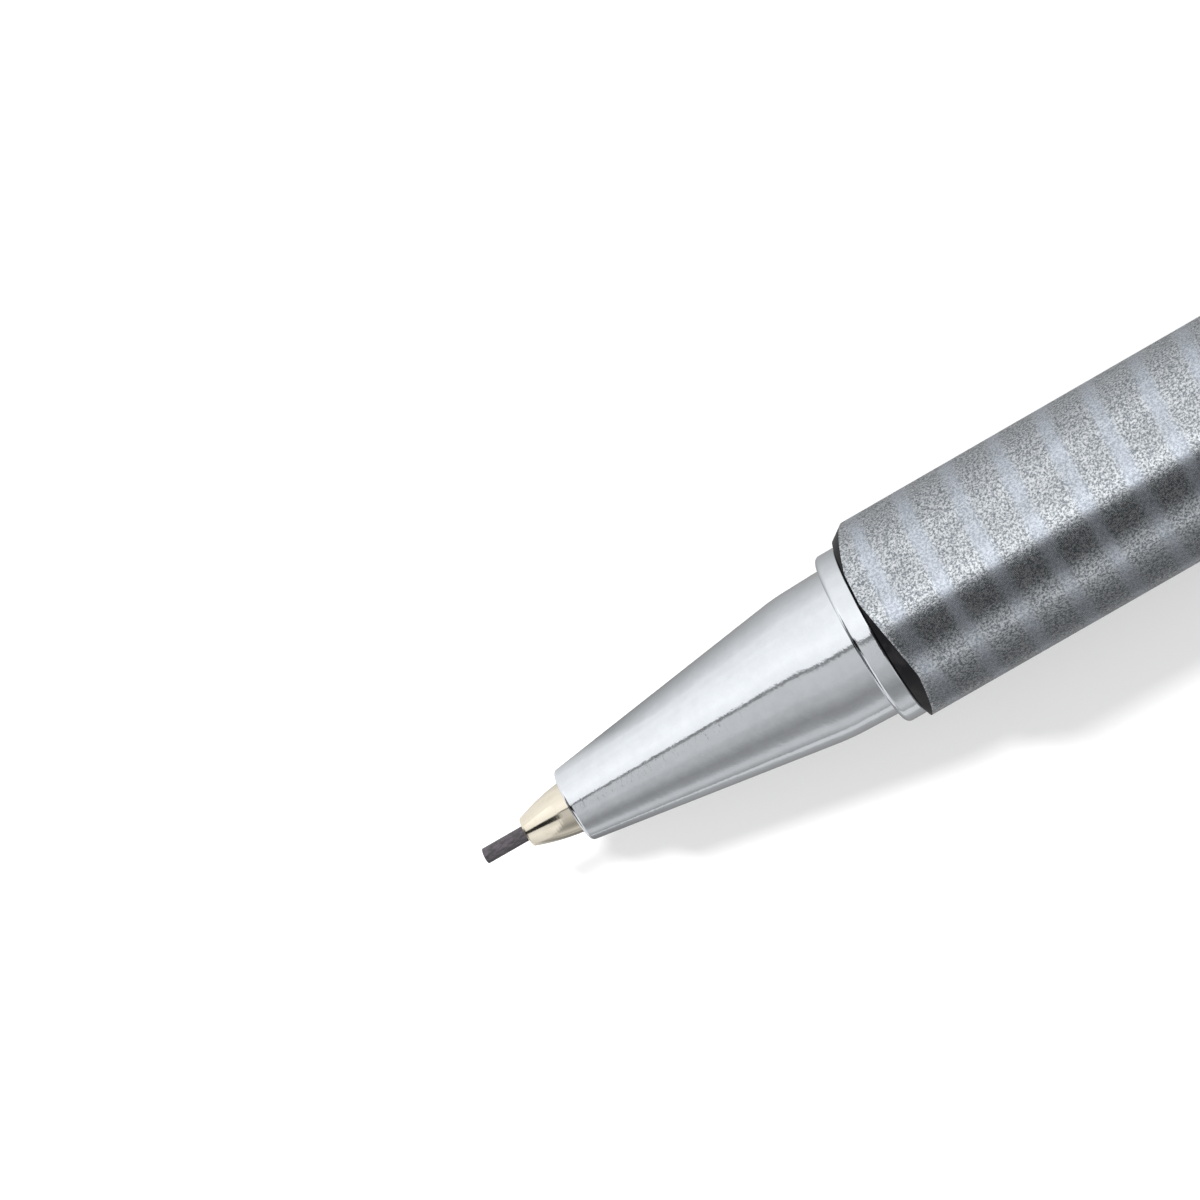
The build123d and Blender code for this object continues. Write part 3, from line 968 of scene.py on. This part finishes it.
@dataclass
class Barrel:
    """The three-sided barrel, silver outside, with bare turned cones and necks at its ends."""

    flat_width: float = 1.20
    edge_round: float = 1.50
    land_radius: float = 4.25
    end_slope: float = 1.4  # how far an end's cone goes along the axis for each step outwards
    land_step: float = 0.02  # the least that an end's land lies inside the outline
    neck_radius: float = 3.80
    shadow_gap: float = 0.05
    front_bore: float = 3.49
    front_bore_depth: float = 9.0
    bore: float = 2.75
    rear_bore: float = 3.20
    rear_bore_depth: float = 10.0
    pocket: float = 3.60
    pocket_depth: float = 6.0
    steps: int = 360
    crease_width: float = 0.008
    guard: float = 0.15  # narrow rows beside the ends, which keep the sides evenly shaded
    sharp_angle: float = 25.0

    def build(self) -> list[bpy.types.Object]:
        """Makes the barrel's pieces."""
        return [
            self.shell(),
            smooth_copy("thread_insert", "brass_insert", Body.BODY, BRASS),
            smooth_copy("chuck_sleeve", "clutch_sleeve", Body.BODY, BLACK_PLASTIC),
            smooth_copy("ferrule_bush", "button_bush", Body.BODY, BLACK_PLASTIC),
        ]

    def section(self) -> Callable[[float], float]:
        """Works out the barrel's outline across the axis.

        Returns:
            A function that gives the outline's radius in a direction, in radians.
        """
        low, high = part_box("barrel")
        face, crest = -low.z / MM, high.z / MM
        half = self.flat_width / 2
        centre = crest - self.edge_round
        reach = face - self.edge_round
        offset = (centre**2 - sqrt(3) * centre * half + half**2 - reach**2) / (2 * reach - centre)
        side = face + offset
        sweep = atan2(centre * sin(pi / 3) - half, centre / 2 + offset)
        flat_end = atan2(half, face)
        side_end = atan2(half + side * sin(sweep), side * cos(sweep) - offset)

        def on_circle(angle: float, x: float, y: float, radius: float) -> float:
            """How far a ray from the axis goes to a circle around (x, y)."""
            along = x * cos(angle) + y * sin(angle)
            return along + sqrt(along**2 - x**2 - y**2 + radius**2)

        def radius_at(direction: float) -> float:
            """The outline's radius in one direction.

            Args:
                direction: The direction, in radians from +Y towards +Z.

            Returns:
                The radius, in millimetres.
            """
            angle = radians(60 - abs(60 - (degrees(direction) - 30) % 120))
            if angle < flat_end:
                return face / cos(angle)
            if angle < side_end:
                return on_circle(angle, -offset, half, side)
            return on_circle(angle, centre / 2, centre * sin(pi / 3), self.edge_round)

        return radius_at

    def shell(self) -> bpy.types.Object:
        """Makes the barrel's walls, ring by ring from the front, and back through its bore.

        Returns:
            The piece.
        """
        span = Span.of("barrel")
        section = self.section()

        def plain(place: float, radius: float) -> Ring:
            """A round ring."""
            return lambda direction: (place, radius)

        def land(direction: float) -> float:
            """The radius at which an end's flat land stops."""
            return min(self.land_radius, section(direction) - self.land_step)

        def edge(end: float, inwards: int) -> Ring:
            """The ring around an end's land."""
            return lambda direction: (end + inwards * self.shadow_gap, land(direction))

        def shaped(end: float, inwards: int, beyond: float) -> Ring:
            """A ring around the outline where an end's cone meets it.

            Args:
                end: The place of that end.
                inwards: 1 at the front end, -1 at the rear one.
                beyond: How much further inwards the ring lies.

            Returns:
                The ring.
            """

            def ring(direction: float) -> tuple[float, float]:
                """Works out the ring in one direction.

                Args:
                    direction: The direction, in radians from +Y towards +Z.

                Returns:
                    The ring's place and radius.
                """
                radius = section(direction)
                cone = self.end_slope * (radius - land(direction))
                return end + inwards * (self.shadow_gap + cone + beyond), radius

            return ring

        front, rear = span.front, span.rear
        silver_rings = [
            shaped(front, 1, 0.0),
            shaped(front, 1, self.guard),
            shaped(rear, -1, self.guard),
            shaped(rear, -1, 0.0),
        ]
        rings = [
            plain(front, self.front_bore),
            plain(front, self.neck_radius),
            plain(front + self.shadow_gap, self.neck_radius),
            edge(front, 1),
            *silver_rings,
            edge(rear, -1),
            plain(rear - self.shadow_gap, self.neck_radius),
            plain(rear, self.neck_radius),
            plain(rear, self.pocket),
            plain(rear - self.pocket_depth, self.pocket),
            plain(rear - self.pocket_depth, self.rear_bore),
            plain(rear - self.rear_bore_depth, self.rear_bore),
            plain(rear - self.rear_bore_depth, self.bore),
            plain(front + self.front_bore_depth, self.bore),
            plain(front + self.front_bore_depth, self.front_bore),
        ]
        bm = bmesh.new()
        across = Matrix.Rotation(pi / 2, 4, "Y")
        bmesh.ops.create_circle(bm, segments=self.steps, radius=1.0, matrix=across)
        first = edges = bm.edges[:]
        self.shape_ring(bm.verts, rings[0])
        creases = []
        for ring in rings[1:]:
            grown = bmesh.ops.extrude_edge_only(bm, edges=edges)["geom"]
            verts = {g for g in grown if isinstance(g, bmesh.types.BMVert)}
            grown_edges = [g for g in grown if isinstance(g, bmesh.types.BMEdge)]
            edges = [e for e in grown_edges if verts.issuperset(e.verts)]
            self.shape_ring(verts, ring)
            for face in (g for g in grown if isinstance(g, bmesh.types.BMFace)):
                face.material_index = 0 if ring in silver_rings[1:] else 1
            if ring in (silver_rings[0], silver_rings[-1]):
                creases += edges
        for face in bmesh.ops.bridge_loops(bm, edges=[*edges, *first])["faces"]:
            face.material_index = 1
        bmesh.ops.recalc_face_normals(bm, faces=bm.faces)
        soften(bm, creases, self.crease_width)
        finishes = [SILVER, BLACK_PLASTIC]
        return finish_piece("barrel_shell", bm, Body.BODY, finishes, "barrel", self.sharp_angle)

    @staticmethod
    def shape_ring(verts: Iterable[bmesh.types.BMVert], ring: Ring) -> None:
        """Moves vertices to the place and radius that a ring has in their direction.

        Args:
            verts: The vertices, anywhere but on the axis.
            ring: The ring.
        """
        for vert in verts:
            direction = atan2(vert.co.z, vert.co.y)
            place, radius = ring(direction)
            vert.co = (place, radius * cos(direction), radius * sin(direction))


# ------------------------------------------------------------------------ rear end


@dataclass
class RearFitting:
    """The chrome ferrule, the pocket clip in its slot, and the push button over the eraser."""

    ferrule_round: float = 0.35
    ferrule_bevel: float = 0.08
    ferrule_bore: float = 3.32
    ferrule_spigot: float = 3.58
    ferrule_spigot_round: float = 0.06
    bush_bore: float = 3.10
    bush_bore_round: float = 0.05
    lip_length: float = 0.70
    slot_from_rear: float = 1.70
    slot_gap: float = 0.08
    slot_reach: float = 6.0  # how far from the slot the ferrule's wall is divided
    face_angle: float = 150.0
    clip_thickness: float = 0.50
    clip_width: float = 3.4
    clip_tip_width: float = 2.4
    clip_bend: float = 0.95
    clip_edge: float = 0.10
    clip_long_edge: float = 1.0  # edges above this length are divided
    clip_cuts: int = 6
    clip_tip_cuts: int = 12
    clip_tip_reach: float = 0.4
    clip_end_share: float = 0.25  # the least share of its width at the rounded end
    clip_sharp_angle: float = 40.0
    arm_height: float = 5.50
    arm_front_height: float = 4.95
    toe_height: float = 4.28
    toe_from_tip: float = 1.7
    lip_rise: float = 1.1
    button_bore: float = 2.72
    button_end_wall: float = 0.8
    button_round: float = 0.9
    button_rim: float = 0.06
    groove_from_ferrule: float = 2.8
    groove_width: float = 0.5
    groove_depth: float = 0.17
    groove_lip: float = 0.05
    groove_fillet: float = 0.08
    dish_radius: float = 1.7
    dish_depth: float = 0.12
    dish_slope: float = 0.35  # how far its side goes inwards
    dish_lip: float = 0.3
    dish_fillet: float = 0.6
    bore_fillet: float = 0.57
    eraser_dome: float = 0.6
    eraser_front_round: float = 0.08
    lathe: Lathe = field(default_factory=Lathe)

    def build(self) -> list[bpy.types.Object]:
        """Makes the rear end's pieces."""
        return [
            self.ferrule(),
            self.clip(),
            self.button(),
            self.eraser(),
            smooth_copy("button_liner", "cap_liner", Body.BUTTON, BLACK_PLASTIC),
            smooth_copy("eraser_holder", "eraser_cup", Body.MECHANISM, THIN_STEEL),
        ]

    def ferrule(self) -> bpy.types.Object:
        """Makes the ferrule, with the slot that the clip's tab goes through.

        Returns:
            The piece.
        """
        span = Span.of("rear_ferrule")
        barrel_rear = Span.of("barrel").rear
        bm = self.lathe.turned(
            [
                Corner(span.front, self.ferrule_bore),
                Corner(span.front, self.ferrule_spigot, self.ferrule_spigot_round, 2),
                Corner(barrel_rear, self.ferrule_spigot),
                Corner(barrel_rear, span.radius, self.ferrule_bevel, 3),
                Corner(span.rear, span.radius, self.ferrule_round, 8),
                Corner(span.rear, self.bush_bore, self.bush_bore_round, 2),
                Corner(span.rear - self.lip_length, self.bush_bore),
                Corner(span.rear - self.lip_length, self.ferrule_bore),
            ]
        )
        self.cut_slot(bm, span.rear - self.slot_from_rear)
        return finish_piece("ferrule_shell", bm, Body.BODY, [CHROME], "rear_ferrule")

    def across(self, normal_part: float, side_part: float) -> Vector:
        """A direction across the axis, from its parts along and across the clip's face."""
        turn = Matrix.Rotation(radians(self.face_angle), 3, "X")
        return turn @ Vector((0, normal_part, side_part))

    def cut_slot(self, bm: bmesh.types.BMesh, place: float) -> None:
        """Opens a rectangle through the ferrule's wall and lines it.

        Args:
            bm: The ferrule's mesh.
            place: The middle of the slot along the axis.
        """
        half_length = self.clip_thickness / 2 + self.slot_gap
        half_width = self.clip_width / 2 + self.slot_gap
        normal, side, along = self.across(1, 0), self.across(0, 1), Vector((1, 0, 0))
        planes = [(along * (place + sign * half_length), along) for sign in (-1, 1)]
        planes += [(side * sign * half_width, side) for sign in (-1, 1)]

        def within(face: bmesh.types.BMFace, length: float, width: float) -> bool:
            """Whether a face is on the clip's side and near to the slot.

            Args:
                face: The face, of which only the middle counts.
                length: How near it has to be along the axis.
                width: How near it has to be across it.

            Returns:
                True if it is.
            """
            middle = face.calc_center_median()
            near = abs(middle.x - place) < length and abs(middle.dot(side)) < width
            return near and middle.dot(normal) > 0

        for point, direction in planes:
            wall = [f for f in bm.faces if within(f, self.slot_reach, self.slot_reach)]
            edges = {e for f in wall for e in f.edges}
            verts = {v for f in wall for v in f.verts}
            bmesh.ops.bisect_plane(
                bm, geom=[*verts, *edges, *wall], dist=SAME_POINT, plane_co=point,
                plane_no=direction,
            )
        inside = [f for f in bm.faces if within(f, half_length, half_width)]
        bmesh.ops.delete(bm, geom=inside, context="FACES")
        bmesh.ops.bridge_loops(bm, edges=[e for e in bm.edges if e.is_boundary])
        bmesh.ops.recalc_face_normals(bm, faces=bm.faces)

    def clip(self) -> bpy.types.Object:
        """Makes the bent strip of the clip: tab, arm, toe and turned-up lip.

        Returns:
            The piece.
        """
        low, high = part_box("clip")
        front, rear = low.x / MM, high.x / MM
        toe = front + self.toe_from_tip
        under = [
            Vector((rear - self.clip_thickness, self.ferrule_bore + self.slot_gap)),
            Vector((rear - self.clip_thickness, self.arm_height)),
            Vector((toe + 2 * self.toe_from_tip, self.arm_front_height)),
            Vector((toe, self.toe_height)),
            Vector((front, self.toe_height + self.lip_rise)),
        ]
        outline = [*under, *reversed(offset_path(under, self.clip_thickness))]
        count = len(under)
        bm = bmesh.new()
        verts = [bm.verts.new((p.x, 0.0, p.y)) for p in outline]
        bm.faces.new(verts)
        for index in range(1, count - 1):
            bend = (under[index] - under[index - 1]).cross(under[index + 1] - under[index])
            half = self.clip_thickness / 2 if bend > 0 else -self.clip_thickness / 2
            inner, outer = verts[index], verts[2 * count - 1 - index]
            round_corner(bm, inner, Corner(0, 0, self.clip_bend + half, 8))
            round_corner(bm, outer, Corner(0, 0, self.clip_bend - half, 8))
        self.add_rows(bm, front)
        bmesh.ops.translate(bm, vec=(0, -0.5, 0), verts=bm.verts)  # 1 wide, then scaled
        grown = bmesh.ops.extrude_face_region(bm, geom=bm.faces[:])["geom"]
        far = [g for g in grown if isinstance(g, bmesh.types.BMVert)]
        bmesh.ops.translate(bm, vec=(0, 1, 0), verts=far)
        bmesh.ops.recalc_face_normals(bm, faces=bm.faces)
        sides = [f for f in bm.faces if abs(f.normal.y) > 0.9]
        for vert in bm.verts:
            vert.co.y *= self.width_at(vert.co.x - front, rear - front)
        soften(bm, {e for f in sides for e in f.edges}, self.clip_edge, 3)
        self.turn_to_face(bm)
        return finish_piece("pocket_clip", bm, Body.CLIP, [CHROME], "clip", self.clip_sharp_angle)

    def add_rows(self, bm: bmesh.types.BMesh, front: float) -> None:
        """Divides the outline's long edges so that the strip can taper and round off.

        Args:
            bm: The outline.
            front: The place of the strip's free end.
        """
        for edge in [e for e in bm.edges if e.calc_length() > self.clip_long_edge]:
            at_tip = min(v.co.x for v in edge.verts) < front + self.clip_tip_reach
            cuts = self.clip_tip_cuts if at_tip else self.clip_cuts
            bmesh.ops.subdivide_edges(bm, edges=[edge], cuts=cuts)

    def width_at(self, from_tip: float, length: float) -> float:
        """Works out the strip's width, which tapers and then rounds off.

        Args:
            from_tip: The distance from the strip's free end.
            length: The strip's whole length.

        Returns:
            The width there.
        """
        half_tip = self.clip_tip_width / 2
        share = max(0.0, min(1.0, (from_tip - half_tip) / (length - self.clip_width - half_tip)))
        width = self.clip_tip_width + (self.clip_width - self.clip_tip_width) * share
        if from_tip < half_tip:
            rounded = sqrt(max(0.0, 1 - (1 - from_tip / half_tip) ** 2))
            width *= max(self.clip_end_share, rounded)
        return width

    def turn_to_face(self, bm: bmesh.types.BMesh) -> None:
        """Turns the strip from the XZ plane to the face that carries it."""
        turn = Matrix.Rotation(radians(self.face_angle - 90), 3, "X")
        bmesh.ops.rotate(bm, cent=(0, 0, 0), matrix=turn, verts=bm.verts)

    def button(self) -> bpy.types.Object:
        """Makes the push button: a deep cap with a finger groove and a dished end.

        Returns:
            The piece.
        """
        span = Span.of("push_button")
        groove = Span.of("rear_ferrule").rear + self.groove_from_ferrule
        groove_end = groove + self.groove_width
        floor = span.radius - self.groove_depth
        dish = span.rear - self.dish_depth
        bore_end = span.rear - self.button_end_wall
        bm = self.lathe.turned(
            [
                Corner(span.front, self.button_bore),
                Corner(span.front, span.radius, self.button_rim, 2),
                Corner(groove, span.radius, self.groove_lip, 3),
                Corner(groove, floor, self.groove_fillet, 3),
                Corner(groove_end, floor, self.groove_fillet, 3),
                Corner(groove_end, span.radius, self.groove_lip, 3),
                Corner(span.rear, span.radius, self.button_round, 12),
                Corner(span.rear, self.dish_radius, self.dish_lip, 3),
                Corner(dish, self.dish_radius - self.dish_slope, self.dish_fillet, 4),
                Corner(dish, 0.0),
                Corner(bore_end, 0.0),
                Corner(bore_end, self.button_bore, self.bore_fillet, 4),
            ]
        )
        return finish_piece("button_cap", bm, Body.BUTTON, [CHROME], "push_button")

    def eraser(self) -> bpy.types.Object:
        """Makes the eraser, with a rounded end.

        Returns:
            The piece.
        """
        span = Span.of("eraser")
        bm = self.lathe.turned(
            [
                Corner(span.front, 0.0),
                Corner(span.front, span.radius, self.eraser_front_round, 2),
                Corner(span.rear, span.radius, self.eraser_dome, 8),
                Corner(span.rear, 0.0),
            ]
        )
        return finish_piece("eraser_stub", bm, Body.ERASER, [ERASER], "eraser")


def offset_path(path: Sequence[Vector], distance: float) -> list[Vector]:
    """Draws an open path's parallel on its right-hand side.

    Args:
        path: The path's points.
        distance: How far the parallel lies from it.

    Returns:
        As many points, mitred at the corners.
    """
    steps = [(b - a).normalized() for a, b in zip(path, path[1:])]
    sides = [Vector((s.y, -s.x)) for s in steps]
    ends = [sides[0], *((a + b) / (1 + a.dot(b)) for a, b in zip(sides, sides[1:])), sides[-1]]
    return [p + distance * side for p, side in zip(path, ends)]


# ------------------------------------------------------------------------ mechanism


@dataclass
class Mechanism:
    """The clutch, its spring, and the lead tube behind it, all inside the barrel."""

    click_travel: float = 2.0

    def build(self) -> list[bpy.types.Object]:
        """Makes the mechanism's pieces."""
        return [
            self.spring(),
            smooth_copy("chuck", "chuck_jaws", Body.MECHANISM, BRASS),
            smooth_copy("chuck_coupler", "tube_coupler", Body.MECHANISM, PALE_PLASTIC),
            smooth_copy("lead_tube", "reserve_tube", Body.MECHANISM, PALE_PLASTIC),
            smooth_copy("spare_leads", "reserve_leads", Body.MECHANISM, LEAD),
            smooth_copy("clutch_ring", "wedge_ring", Body.CLUTCH, BRASS),
        ]

    def spring(self) -> bpy.types.Object:
        """Makes the return spring, a smoothly shaded copy of its CAD node with a mesh of its own.

        Returns:
            The piece.
        """
        piece = smooth_copy("chuck_spring", "return_spring", Body.BODY, SPRING_STEEL)
        coil = Span.of("chuck_spring")
        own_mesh(piece)
        return piece


# ------------------------------------------------------------------------ studio


@dataclass
class Studio:
    """A pale floor, soft light from one side, and the camera.

    The metal mirrors a plain room whose brightness is graded about the pencil's axis.
    """

    camera_turn: float = 60.0  # the camera's direction about the axis, from +Y towards +Z
    camera_lean: float = 7.1  # degrees that the camera is behind square to the axis
    pencil_rise: float = 30.0  # the pencil's slope in the camera's view
    view_width: float = 51.06
    tip_right: float = -4.89  # the lead's end from the middle of the view
    tip_up: float = -10.91
    lens: float = 250.0
    sensor: float = 36.0
    floor_size: float = 40.0  # metres
    floor_seen: Colour = (0.90, 0.90, 0.90)
    floor_reach: float = 40.0
    floor_glow: tuple[Stop, ...] = (  # mirrored brightness of the floor across the pencil; its dip near the pencil is painted shade
        (-40.0, 0.66), (-27.0, 0.42), (-14.0, 0.33), (-3.0, 0.22), (0.5, 0.24), (3.0, 0.40),
        (6.5, 0.64), (12.0, 0.88), (40.0, 0.98),
    )
    painted_barrel_shade: float = 0.82  # share of it that the barrel mirrors: painted shade of the barrel on the floor
    barrel_blend: float = 1.0  # half of the length in which that share sets in
    tip_spread: float = 2.0  # how much faster the floor brightens ahead of the tip
    key_power: float = 3.4
    key_size: float = 0.075  # metres
    key_distance: float = 0.5  # metres
    key_direction: Triple = (-0.30, 0.80, 0.60)
    backdrop: float = 1.05
    ambient: float = 0.90
    skew: float = 22.0  # degrees that the glow turns for each unit along the axis
    glow: tuple[Stop, ...] = (  # degrees from the camera's side of the axis, grey
        (-180.0, 0.34), (-124.0, 0.34), (-116.0, 0.48), (-110.0, 0.58), (-102.0, 0.56),
        (-94.0, 0.38), (-86.0, 0.31), (-76.0, 0.28), (-65.0, 0.36), (-56.0, 0.45), (-44.0, 0.50),
        (-38.0, 0.57), (-15.0, 0.61), (-7.5, 0.60), (-5.4, 0.24), (-1.6, 0.20), (-0.2, 0.99),
        (22.0, 1.10), (45.0, 1.02), (62.0, 0.96), (180.0, 0.60),
    )
    tip_glow: tuple[Stop, ...] = (  # the same, straight in front of the tip
        (-180.0, 0.45), (-110.0, 0.75), (-60.0, 0.95), (-33.0, 0.80), (-29.0, 0.02),
        (-8.0, 0.02), (-4.0, 0.95), (40.0, 1.20), (100.0, 1.10), (180.0, 0.70),
    )
    card_glow: tuple[Stop, ...] = (  # the same, on a card that only the barrel mirrors
        (-112.0, 0.19), (-90.0, 0.16), (-75.0, 0.18), (-60.0, 0.34), (-44.0, 0.62),
        (-34.0, 0.56), (-21.0, 0.045), (5.0, 0.045), (10.0, 1.25), (18.0, 1.30), (30.0, 1.02),
        (45.0, 0.96), (60.0, 0.96),
    )
    tip_side: Band = (-0.44, -0.475)  # part along X from which the tip's glow takes over
    dark_ahead: Band = (-0.74, -0.82)  # the same for the dark in front, which shows in rims
    dark_floor: Band = (27.0, 34.0)  # how far ahead of the collar the mirrored floor gets dark
    dark_floor_taper: float = 2.0  # how much further ahead to either side, for each unit
    dark_share: float = 0.15
    card_distance: float = 9.0
    card_from_collar: float = -0.4
    card_steps: int = 24

    def build(self) -> None:
        """Makes the floor, the lights and the camera."""
        self.floor()
        self.world()
        self.card()
        self.key_light()
        self.camera()
        bpy.context.scene.view_settings.view_transform = "Standard"
        log.info("studio set")

    @staticmethod
    def glowing(name: str) -> tuple[bpy.types.Material, Graph]:
        """Starts a material for the floor or the card, which lights nothing by itself.

        Args:
            name: The material's name.

        Returns:
            The material, and its empty node tree.
        """
        material = bpy.data.materials.new(name)
        material.use_nodes = True
        material.cycles.emission_sampling = "NONE"
        return material, Graph(material.node_tree)

    def floor(self) -> None:
        """Lays a wide pale plane under the flat that the pencil rests on.

        It has one look for the camera and another, graded across the pencil, in reflections; that
        one holds painted shade near the pencil.
        """
        bm = bmesh.new()
        bmesh.ops.create_grid(bm, x_segments=1, y_segments=1, size=self.floor_size / 2)
        bmesh.ops.translate(bm, vec=(0, 0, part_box("barrel")[0].z), verts=bm.verts)
        floor = add_mesh("floor", bm)
        material, graph = self.glowing("pale floor")
        place = graph.place()
        x, y = graph.part(place, "X"), graph.part(place, "Y")
        ahead = graph.math("MAXIMUM", Span.of("lead_guide").rear - x, 0.0)
        stops = [(0.5 + aside / self.floor_reach / 2, grey) for aside, grey in self.floor_glow]
        across = 0.5 + (y + self.tip_spread * ahead) / self.floor_reach / 2
        front = Span.of("barrel").front
        barrel = x.ramp(front - self.barrel_blend, front + self.barrel_blend)
        far = (0 - x - self.dark_floor_taper * abs(y)).ramp(*self.dark_floor)
        # painted shade: the mirrored floor dims where the barrel lies, and it also dims far ahead
        # of the tip
        share = (1 - (1 - self.painted_barrel_shade) * barrel) * (1 - (1 - self.dark_share) * far)
        glow = graph.dimmed(graph.graded(across, stops), share)
        mirrored = graph.node("Emission", None, {"Color": glow, "Strength": 1.0}).outputs[0]
        seen = graph.node("BsdfDiffuse", None, {"Color": self.floor_seen}).outputs[0]
        ray = graph.node("LightPath").outputs["Is Glossy Ray"]
        shader = graph.node("MixShader", None, {0: ray, 1: seen, 2: mirrored})
        graph.node("OutputMaterial", None, {"Surface": shader.outputs[0]})
        floor.data.materials.append(material)

    def world(self) -> None:
        """Makes soft surroundings whose brightness depends on the angle about the axis."""
        world = bpy.data.worlds.new("studio")
        world.use_nodes = True
        bpy.context.scene.world = world
        graph = Graph(world.node_tree)
        direction = graph.node("TexCoord").outputs["Generated"]
        forwards = graph.part(direction, "X")
        angle = self.turned_from_camera(graph, direction) + self.skew / 360 * forwards
        glow = graph.graded(angle, self.spread(self.glow))
        tip_glow = graph.graded(angle, self.spread(self.tip_glow))
        mirrored = graph.blend(forwards.ramp(*self.tip_side), glow, tip_glow)
        dim = 1 - (1 - self.dark_share) * forwards.ramp(*self.dark_ahead)
        mirrored = graph.dimmed(mirrored, dim)
        path = graph.node("LightPath")
        lit = graph.blend(path.outputs["Is Glossy Ray"], (self.ambient,) * 3, mirrored)
        colour = graph.blend(path.outputs["Is Camera Ray"], lit, (self.backdrop,) * 3)
        shader = graph.node("Background", None, {"Color": colour, "Strength": 1.0})
        graph.node("OutputWorld", None, {"Surface": shader.outputs[0]})

    def card(self) -> None:
        """Bends a card around the camera's side of the barrel, which only shows in its coat."""
        span = Span.of("barrel")
        (start, _), (end, _) = self.card_glow[0], self.card_glow[-1]
        turn = radians(self.camera_turn - start)
        reach = self.card_distance * MM
        front = (span.front + self.card_from_collar) * MM
        bm = bmesh.new()
        corner = bm.verts.new((front, reach * cos(turn), reach * sin(turn)))
        bmesh.ops.spin(
            bm, geom=[corner], cent=(0, 0, 0), axis=(1, 0, 0), angle=radians(start - end),
            steps=self.card_steps, use_merge=False,
        )
        grown = bmesh.ops.extrude_edge_only(bm, edges=bm.edges[:])["geom"]
        far = [g for g in grown if isinstance(g, bmesh.types.BMVert)]
        bmesh.ops.translate(bm, vec=((span.rear - span.front) * MM, 0, 0), verts=far)
        card = add_mesh("card", bm)
        material, graph = self.glowing("graded card")
        angle = self.turned_from_camera(graph, graph.place())
        glow = graph.graded(angle, self.spread(self.card_glow))
        shader = graph.node("Emission", None, {"Color": glow, "Strength": 1.0})
        graph.node("OutputMaterial", None, {"Surface": shader.outputs[0]})
        card.data.materials.append(material)
        card.visible_camera = card.visible_diffuse = card.visible_shadow = False

    @staticmethod
    def spread(stops: Sequence[Stop]) -> list[Stop]:
        """Stops in degrees as stops along a ramp that goes once round the axis."""
        return [((degree + 180) / 360, grey) for degree, grey in stops]

    def turned_from_camera(self, graph: Graph, vector: bpy.types.NodeSocket) -> Signal:
        """Works out how far a direction is turned about the axis from the camera's side.

        Args:
            graph: The node tree.
            vector: The direction.

        Returns:
            The turn, as a place along a ramp that goes once round the axis.
        """
        rise, near = (
            graph.node("VectorMath", {"operation": "DOT_PRODUCT"}, {0: vector, 1: direction})
            for direction in (self.view_up(), self.towards_camera())
        )
        turn = graph.math("ARCTAN2", rise.outputs["Value"], near.outputs["Value"])
        return turn / (2 * pi) + 0.5

    def towards_camera(self) -> Triple:
        """The direction square to the axis that the camera is nearest to."""
        turn = radians(self.camera_turn)
        return (0.0, cos(turn), sin(turn))

    def view_up(self) -> Triple:
        """The direction square to the axis and to the camera that goes up in its view."""
        turn = radians(self.camera_turn)
        return (0.0, sin(turn), -cos(turn))

    def key_light(self) -> None:
        """Hangs one soft lamp, which casts the shadow."""
        lamp = bpy.data.lights.new("key", "AREA")
        lamp.energy = self.key_power
        lamp.shape = "DISK"
        lamp.size = self.key_size
        direction = Vector(self.key_direction).normalized()
        key = add_object("key", lamp)
        key.location = direction * self.key_distance
        key.rotation_mode = "QUATERNION"
        key.rotation_quaternion = direction.to_track_quat("Z", "Y")
        key.visible_glossy = False

    def camera(self) -> None:
        """Sets up a long lens, turned so that the pencil rises to the right."""
        lean, roll = radians(self.camera_lean), radians(self.pencil_rise)
        back = Vector((sin(lean), 0, 0)) + cos(lean) * Vector(self.towards_camera())
        up_axis = Vector(self.view_up())
        along = up_axis.cross(back)
        right = cos(roll) * along - sin(roll) * up_axis
        up = sin(roll) * along + cos(roll) * up_axis
        tip = Vector((Span.of("lead").front, 0, 0))
        target = (tip - self.tip_right * right - self.tip_up * up) * MM
        lens = bpy.data.cameras.new("camera")
        lens.lens = self.lens
        lens.sensor_width = self.sensor
        distance = self.view_width * MM * self.lens / self.sensor
        camera = add_object("camera", lens)
        camera.rotation_mode = "QUATERNION"
        camera.rotation_quaternion = Matrix((right, up, back)).transposed().to_quaternion()
        camera.location = target + back * distance
        bpy.context.scene.camera = camera


def main() -> None:
    """Builds every sub-assembly and the studio."""
    logging.basicConfig(level=logging.INFO)
    for assembly in (Nose(), LeadStick(), Barrel(), RearFitting(), Mechanism()):
        pieces = assembly.build()
        log.info("%s: %d pieces", type(assembly).__name__, len(pieces))
    Studio().build()
    bpy.context.view_layer.update()


if __name__ == "__main__":
    main()
